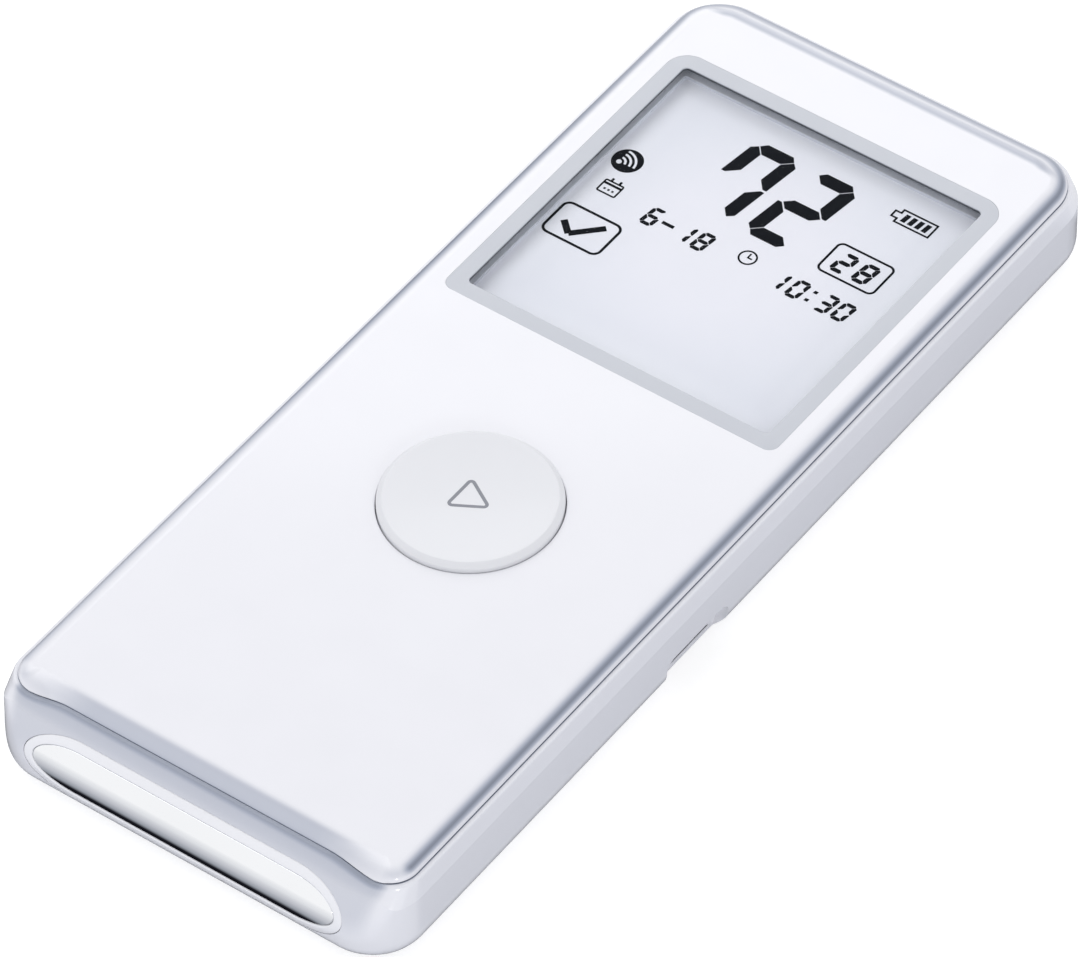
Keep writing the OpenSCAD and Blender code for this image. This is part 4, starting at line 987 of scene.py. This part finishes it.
def metal_face(name, face):
    """Bright plate of an electrode: a grid over its curved face, then its rounded edge."""
    r = face["r"]
    half, end, height = (METAL_LEN / 2 - METAL_EDGE, METAL_END - METAL_EDGE,
                         METAL_H / 2 - METAL_EDGE)
    turn, run, rows = 24, 72, 24
    bends = [radians(90 * i / turn) for i in range(turn + 1)]
    columns = [-half + end * (1 - cos(a)) for a in bends[:-1]]
    columns += [(-half + end) * (1 - i / run) + (half - end) * i / run for i in range(run + 1)]
    columns += [half - end * (1 - sin(a)) for a in bends[1:]]
    last, stride = len(columns) - 1, rows + 1

    def grid_point(i, k):
        x = columns[i]
        past = max(abs(x) - (half - end), 0.0) / end
        tall = height * sqrt(max(1 - past * past, 0.0004))
        return x, tall * (2 * k / rows - 1)

    verts, normals, faces = [], [], []
    for i in range(last + 1):
        for k in range(stride):
            x, v = grid_point(i, k)
            verts.append(on_face(face, x, v, roll(r, v)))
            normals.append((Vector(verts[-1]) - Vector(on_face(face, x, 0, 0))).normalized())
    for i in range(last):
        for k in range(rows):
            a = i * stride + k
            faces.append((a, a + stride, a + stride + 1, a + 1))

    border = [(i, 0) for i in range(last + 1)] + [(last, k) for k in range(1, stride)]
    border += [(i, rows) for i in range(last - 1, -1, -1)]
    border += [(0, k) for k in range(rows - 1, 0, -1)]
    flat = [grid_point(i, k) for i, k in border]
    previous = [i * stride + k for i, k in border]
    for outward, drop in ((0.05, 0.012), (0.09, 0.04), (METAL_EDGE, METAL_EDGE),
                          (METAL_EDGE, METAL_SIDE)):
        ring = list(range(len(verts), len(verts) + len(border)))
        verts += [on_face(face, x, v, roll(r, v) - drop) for x, v in moved_in(flat, -outward)]
        for n in range(len(border)):
            m = (n + 1) % len(border)
            faces.append((previous[n], ring[n], ring[m], previous[m]))
        previous = ring
    faces.append(tuple(reversed(previous)))

    obj = make_object(name, (verts, faces), [CHROME])
    fixed = limited_normals(obj.data, 60)
    for number, loop in enumerate(obj.data.loops):
        if loop.vertex_index < len(normals):
            fixed[number] = normals[loop.vertex_index]
    obj.data.normals_split_custom_set(fixed)
    return obj


# Section of the ring's bead: share of the way from its inner to its outer edge, and drop
BEAD = ((1.0, 0.16), (0.985, 0.10), (0.95, 0.05), (0.88, 0.02), (0.78, 0.005), (0.65, 0.0),
        (0.5, 0.0), (0.35, 0.0), (0.2, 0.01), (0.1, 0.04), (0.03, 0.09), (0.0, 0.16))


def ring_bead(name, face):
    """White bead round an electrode, a little proud of the metal."""
    r, back = face["r"] + RING_PROUD, face["r"] - RING_DEPTH
    inner = oval(METAL_LEN + 2 * RING_GAP, METAL_H + 2 * RING_GAP, METAL_END + RING_GAP)
    outer = oval(RING_LEN, RING_H, RING_END)

    def between(t):
        return [(a[0] + (b[0] - a[0]) * t, a[1] + (b[1] - a[1]) * t)
                for a, b in zip(inner, outer)]

    rings = [level_ring(face, between(1.0), back)]
    for t, drop in BEAD:
        rings.append([on_face(face, x, v, roll(r, v) - drop) for x, v in between(t)])
    rings.append(level_ring(face, between(0.0), back))
    return shaded(name, tube(rings), RING, 50)


# ---- display figures

# The figures are drawn about a display whose middle is at y = 30.2
DRAW_Y = BEZEL_CENTRE[1] - 30.2
INK_Z = film_high.z + 0.002
SLANT = 0.13
SEGMENTS = {"0": "abcdef", "1": "bc", "2": "abged", "3": "abgcd", "6": "afgedc", "7": "fabc",
            "8": "abcdefg"}


def on_glass(x, y):
    return x, y + DRAW_Y, INK_Z


def plate(points):
    """Thin plate over a simple outline, anticlockwise."""
    return loft([raised(points, on_glass, up) for up in (0, INK_T)])


def digit(char, x0, y0, w, h, t, gap):
    """Seven-segment digit with mitred ends, leaning to the right."""
    mid, g = h / 2, gap / 2
    cut = 0.8 * t
    half, high = cut / 2, mid + g
    shapes = {
        "a": [(cut, h), (half + g, h - half), (t + g, h - t), (w - t - g, h - t),
              (w - half - g, h - half), (w - cut, h)],
        "f": [(0, h - cut), (0, high + 0.05 * t), (0.3 * t, high + 0.05 * t),
              (t, high + 0.75 * t), (t, h - t - g), (half, h - half - g)],
        "g": [(0.3 * t + g, mid), (0.8 * t + g, mid - t / 2), (w - 0.8 * t - g, mid - t / 2),
              (w - 0.3 * t - g, mid), (w - 0.8 * t - g, mid + t / 2), (0.8 * t + g, mid + t / 2)],
    }
    shapes["b"] = [(w - x, y) for x, y in shapes["f"]]
    for upper, lower in ("ad", "fe", "bc"):
        shapes[lower] = [(x, h - y) for x, y in shapes[upper]]
    made = []
    for name in SEGMENTS[char]:
        points = [(x0 + x + SLANT * y, y0 + y) for x, y in shapes[name]]
        area = sum(points[i - 1][0] * points[i][1] - points[i][0] * points[i - 1][1]
                   for i in range(len(points)))
        if area < 0:
            points.reverse()
        made.append(plate(points))
    return made


def digits(row, y, *size):
    return [part for char, x in row for part in digit(char, x, y, *size)]


def frame_box(x0, y0, x1, y1, r, line):
    centre = ((x0 + x1) / 2, (y0 + y1) / 2)
    size = (x1 - x0, y1 - y0)
    return band(rounded_rect(centre, size, r),
                rounded_rect(centre, grown(size, -line), r - line), on_glass)


def bar(x0, y0, x1, y1, line):
    """Straight stroke from one point to another."""
    a, b = Vector((x0, y0)), Vector((x1, y1))
    side = Vector((-(b - a).y, (b - a).x)).normalized() * line / 2
    return plate([tuple(a - side), tuple(b - side), tuple(b + side), tuple(a + side)])


def leaning(x0, y0, x1, y1, lean):
    """Upright block that leans to the right."""
    return plate([(x0, y0), (x1, y0), (x1 + lean, y1), (x0 + lean, y1)])


def disc(cx, cy, r, count=40):
    return [(x, y) for x, y, _ in circle(cx, cy, r, 0, count)]


def quarter_wave(cx, cy, r, line, steps=14):
    """Stroke along a quarter of a circle, up and to the right."""
    turns = [radians(2 + 86 * i / steps) for i in range(steps + 1)]
    outer, inner = ([(cx + q * cos(a), cy + q * sin(a)) for a in turns]
                    for q in (r + line / 2, r - line / 2))
    return plate(outer + inner[::-1])


def battery(d):
    """Outline of the battery with its nub to the left, drawn in by d."""
    return [(10.8 + d, 44.55 + d), (15.2 - d, 44.55 + d), (15.2 - d, 46.75 - d),
            (10.8 + d, 46.75 - d), (10.8 + d, 46.2 - d), (10.1 + d, 46.2 - d),
            (10.1 + d, 45.1 + d), (10.8 + d, 45.1 + d)]


def display_figures():
    """The reading, the date and time, the framed small figure, and the tick's frame."""
    parts = digits((("7", -8.75), ("2", -1.3)), 34.6, 5.7, 11.75, 1.58, 0.14)
    parts += digits((("6", -10.68), ("1", -6.6), ("8", -4.38), ("1", 5.15), ("0", 7.5),
                     ("3", 11.1), ("0", 13.15)), 29.5, 1.62, 2.8, 0.45, 0.08)
    parts.append(bar(-8.45, 30.85, -7.0, 30.85, 0.42))
    parts += [leaning(x - 0.24, y - 0.2, x + 0.2, y + 0.2, 0.05)
              for x, y in ((10.25, 31.6), (10.05, 30.2))]
    parts += digits((("2", 9.15), ("8", 11.8)), 35.15, 1.85, 3.05, 0.52, 0.08)
    parts.append(frame_box(8.1, 34.4, 15.2, 39.15, 0.8, 0.26))
    parts.append(frame_box(-18.4, 22.75, -11.0, 27.95, 1.0, 0.30))
    return parts


def display_symbols():
    """Tick, battery with four bars, calendar page and clock face."""
    parts = [bar(-16.9, 25.3, -15.4, 23.95, 0.75), bar(-15.4, 23.95, -12.6, 26.75, 0.75)]
    parts.append(band(battery(0), battery(0.22), on_glass))
    for i in range(4):
        x = 11.42 + 0.86 * i
        parts.append(leaning(x - 0.05, 45.05, x + 0.5, 46.25, 0.14))
    parts.append(frame_box(-16.9, 30.75, -14.5, 32.75, 0.25, 0.2))
    parts.append(bar(-16.8, 32.2, -14.6, 32.2, 0.3))
    parts += [bar(x, 32.6, x, 33.15, 0.26) for x in (-16.2, -15.2)]
    parts += [bar(x - 0.12, 31.45, x + 0.12, 31.45, 0.24) for x in (-16.2, -15.7, -15.2)]
    parts.append(band(disc(1.7, 31.7, 1.05), disc(1.7, 31.7, 0.85), on_glass))
    parts += [bar(1.7, 31.62, 1.7, 32.35, 0.18), bar(1.64, 31.7, 2.2, 31.7, 0.18)]
    return parts


def build_display():
    """Dark figures and symbols, and pale signal waves on a dark badge."""
    badge = plate(disc(-16.58, 36.03, 1.72, 64))
    waves = [quarter_wave(-17.3, 35.4, r, 0.26) for r in (0.75, 1.3, 1.85)]
    waves.append(plate(disc(-17.25, 35.45, 0.3, 20)))
    verts, faces = merged(waves)
    waves = [(x, y, z + INK_T) for x, y, z in verts], faces
    return [shaded(name, skin, mat, 20) for name, skin, mat in (
        ("lcd_figures", merged(display_figures()), INK),
        ("lcd_symbols", merged(display_symbols()), INK),
        ("lcd_badge", badge, INK), ("lcd_badge_waves", waves, LCD))]


# ---- assembly

case = build_case()
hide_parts("lower_case")
cover = build_cover()
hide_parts("top_cover")
bezel = build_bezel()
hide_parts("display_bezel")
near_metal = metal_face("near_electrode_face", NEAR_FACE)
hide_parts("near_electrode")
far_metal = metal_face("far_electrode_face", FAR_FACE)
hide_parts("far_electrode")
near_ring = ring_bead("near_ring_bead", NEAR_FACE)
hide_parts("near_electrode_ring")
far_ring = ring_bead("far_ring_bead", FAR_FACE)
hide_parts("far_electrode_ring")
button = build_button()
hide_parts("start_button")
symbol = build_symbol()
dome = build_dome()
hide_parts("return_dome")
display = build_display()

for piece in [case, cover, bezel, near_metal, far_metal, near_ring, far_ring, dome] + display:
    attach(piece, "housing")
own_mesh(dome)
for piece in (button, symbol):
    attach(piece, "button")

# ---- floor, light and camera

WHITE = (1, 1, 1, 1)
HORIZON, ZENITH = (0.92, 0.93, 0.98), (0.71, 0.715, 0.735)
FLOOR_HALF, FLOOR_Z = 2500.0, -0.05
# The floor's reflection holds a painted shadow that fades from dark to pale
GLOSS_RUN = 20    # how far past the object's ends the floor's reflection turns from dark to pale


def floor_material():
    """Floor: white with a shadow to the camera, and in gloss a painted shadow, dark under the
    object.
    """
    mat = bpy.data.materials.new("floor")
    mat.use_nodes = True
    tree = mat.node_tree
    tree.nodes.clear()
    path = node(tree, "LightPath").outputs
    lit = node(tree, "BsdfDiffuse", {"Color": (0.44, 0.44, 0.44, 1)}).outputs[0]
    glow = node(tree, "Emission", {"Color": WHITE, "Strength": 0.70}).outputs[0]
    seen = node(tree, "AddShader", {0: lit, 1: glow}).outputs[0]
    bounce = node(tree, "BsdfDiffuse", {"Color": (0.86, 0.88, 0.92, 1)}).outputs[0]
    place = axes(tree, node(tree, "NewGeometry").outputs["Position"])
    past = span_of(tree, maths(tree, "ABSOLUTE", place["Y"]), FAR_Y * MM,
                   (FAR_Y + GLOSS_RUN) * MM)
    # Painted shadow seen only in reflections: black under the object, pale past its ends
    tone = ramp_of(tree, past, (
        (0.0, (0.0, 0.0, 0.0)), (0.10, (0.01, 0.01, 0.015)), (0.15, (0.34, 0.36, 0.40)),
        (0.24, (0.55, 0.56, 0.60)), (0.44, (0.80, 0.81, 0.83)), (0.85, (1, 1, 1))))
    mirror = node(tree, "Emission", {"Color": tone}).outputs[0]
    first = node(tree, "MixShader", {"Fac": path["Is Camera Ray"], 1: bounce, 2: seen})
    second = node(tree, "MixShader", {"Fac": path["Is Glossy Ray"], 1: first.outputs[0],
                                      2: mirror})
    node(tree, "OutputMaterial", {"Surface": second.outputs[0]})
    return mat


def build_floor():
    h = FLOOR_HALF
    verts = [(x, y, FLOOR_Z) for x, y in ((-h, -h), (h, -h), (h, h), (-h, h))]
    floor = make_object("studio_floor", (verts, [(0, 1, 2, 3)]), [floor_material()])


def build_world():
    """Soft sky for the light; plain white to the camera and in gloss and glass."""
    world = bpy.data.worlds.new("studio")
    bpy.context.scene.world = world
    world.use_nodes = True
    tree = world.node_tree
    tree.nodes.clear()
    path = node(tree, "LightPath").outputs
    white = node(tree, "Background", {"Color": WHITE, "Strength": 1.0}).outputs[0]
    height = axes(tree, node(tree, "TexCoord").outputs["Generated"])["Z"]
    tone = ramp_of(tree, height, ((0.0, HORIZON), (1.0, ZENITH)))
    sky = node(tree, "Background", {"Color": tone, "Strength": 1.0}).outputs[0]
    seen = maths(tree, "MAXIMUM", path["Is Camera Ray"], path["Is Glossy Ray"])
    clear = maths(tree, "MAXIMUM", seen, path["Is Transmission Ray"])
    mix = node(tree, "MixShader", {"Fac": clear, 1: sky, 2: white})
    node(tree, "OutputWorld", {"Surface": mix.outputs[0]})


def softbox(name, place, size, watts):
    """Square lamp, in metres, that looks at the object."""
    lamp = bpy.data.lights.new(name, "AREA")
    lamp.shape = "SQUARE"
    lamp.size = size
    lamp.energy = watts
    obj = placed(name, lamp)
    obj.location = place
    aim = Vector((0, 0, 0.01)) - Vector(place)
    obj.rotation_euler = aim.to_track_quat("-Z", "Y").to_euler()


def build_camera():
    """The photograph's camera, solved from the straight edges and circles in it."""
    azimuth, elevation, tilt = 37.102, 46.775, -1.355
    place = Vector((354.256, -470.966, 629.485)) * MM
    focal_px, picture_px, sensor = 8518.08, 1080.0, 36.0
    camera = bpy.data.cameras.new("photo_camera")
    camera.sensor_fit = "HORIZONTAL"
    camera.sensor_width = sensor
    camera.lens = focal_px * sensor / picture_px
    camera.clip_start = 0.01
    obj = placed("photo_camera", camera)
    turn = Matrix.Translation(place)
    for angle, axis in ((azimuth, "Z"), (90 - elevation, "X"), (tilt, "Z")):
        turn = turn @ Matrix.Rotation(radians(angle), 4, axis)
    obj.matrix_world = turn
    bpy.context.scene.camera = obj


build_floor()
build_world()
softbox("key_softbox", (-0.395, 0.522, 0.459), 0.35, 0.65)
softbox("left_softbox", (-0.45, 0.0, 0.62), 0.5, 0.8)
softbox("top_softbox", (0.05, -0.05, 0.80), 0.7, 0.3)
softbox("corner_softbox", (0.52, -0.43, 0.21), 0.06, 0.45)
build_camera()
bpy.context.scene.view_settings.view_transform = "Standard"
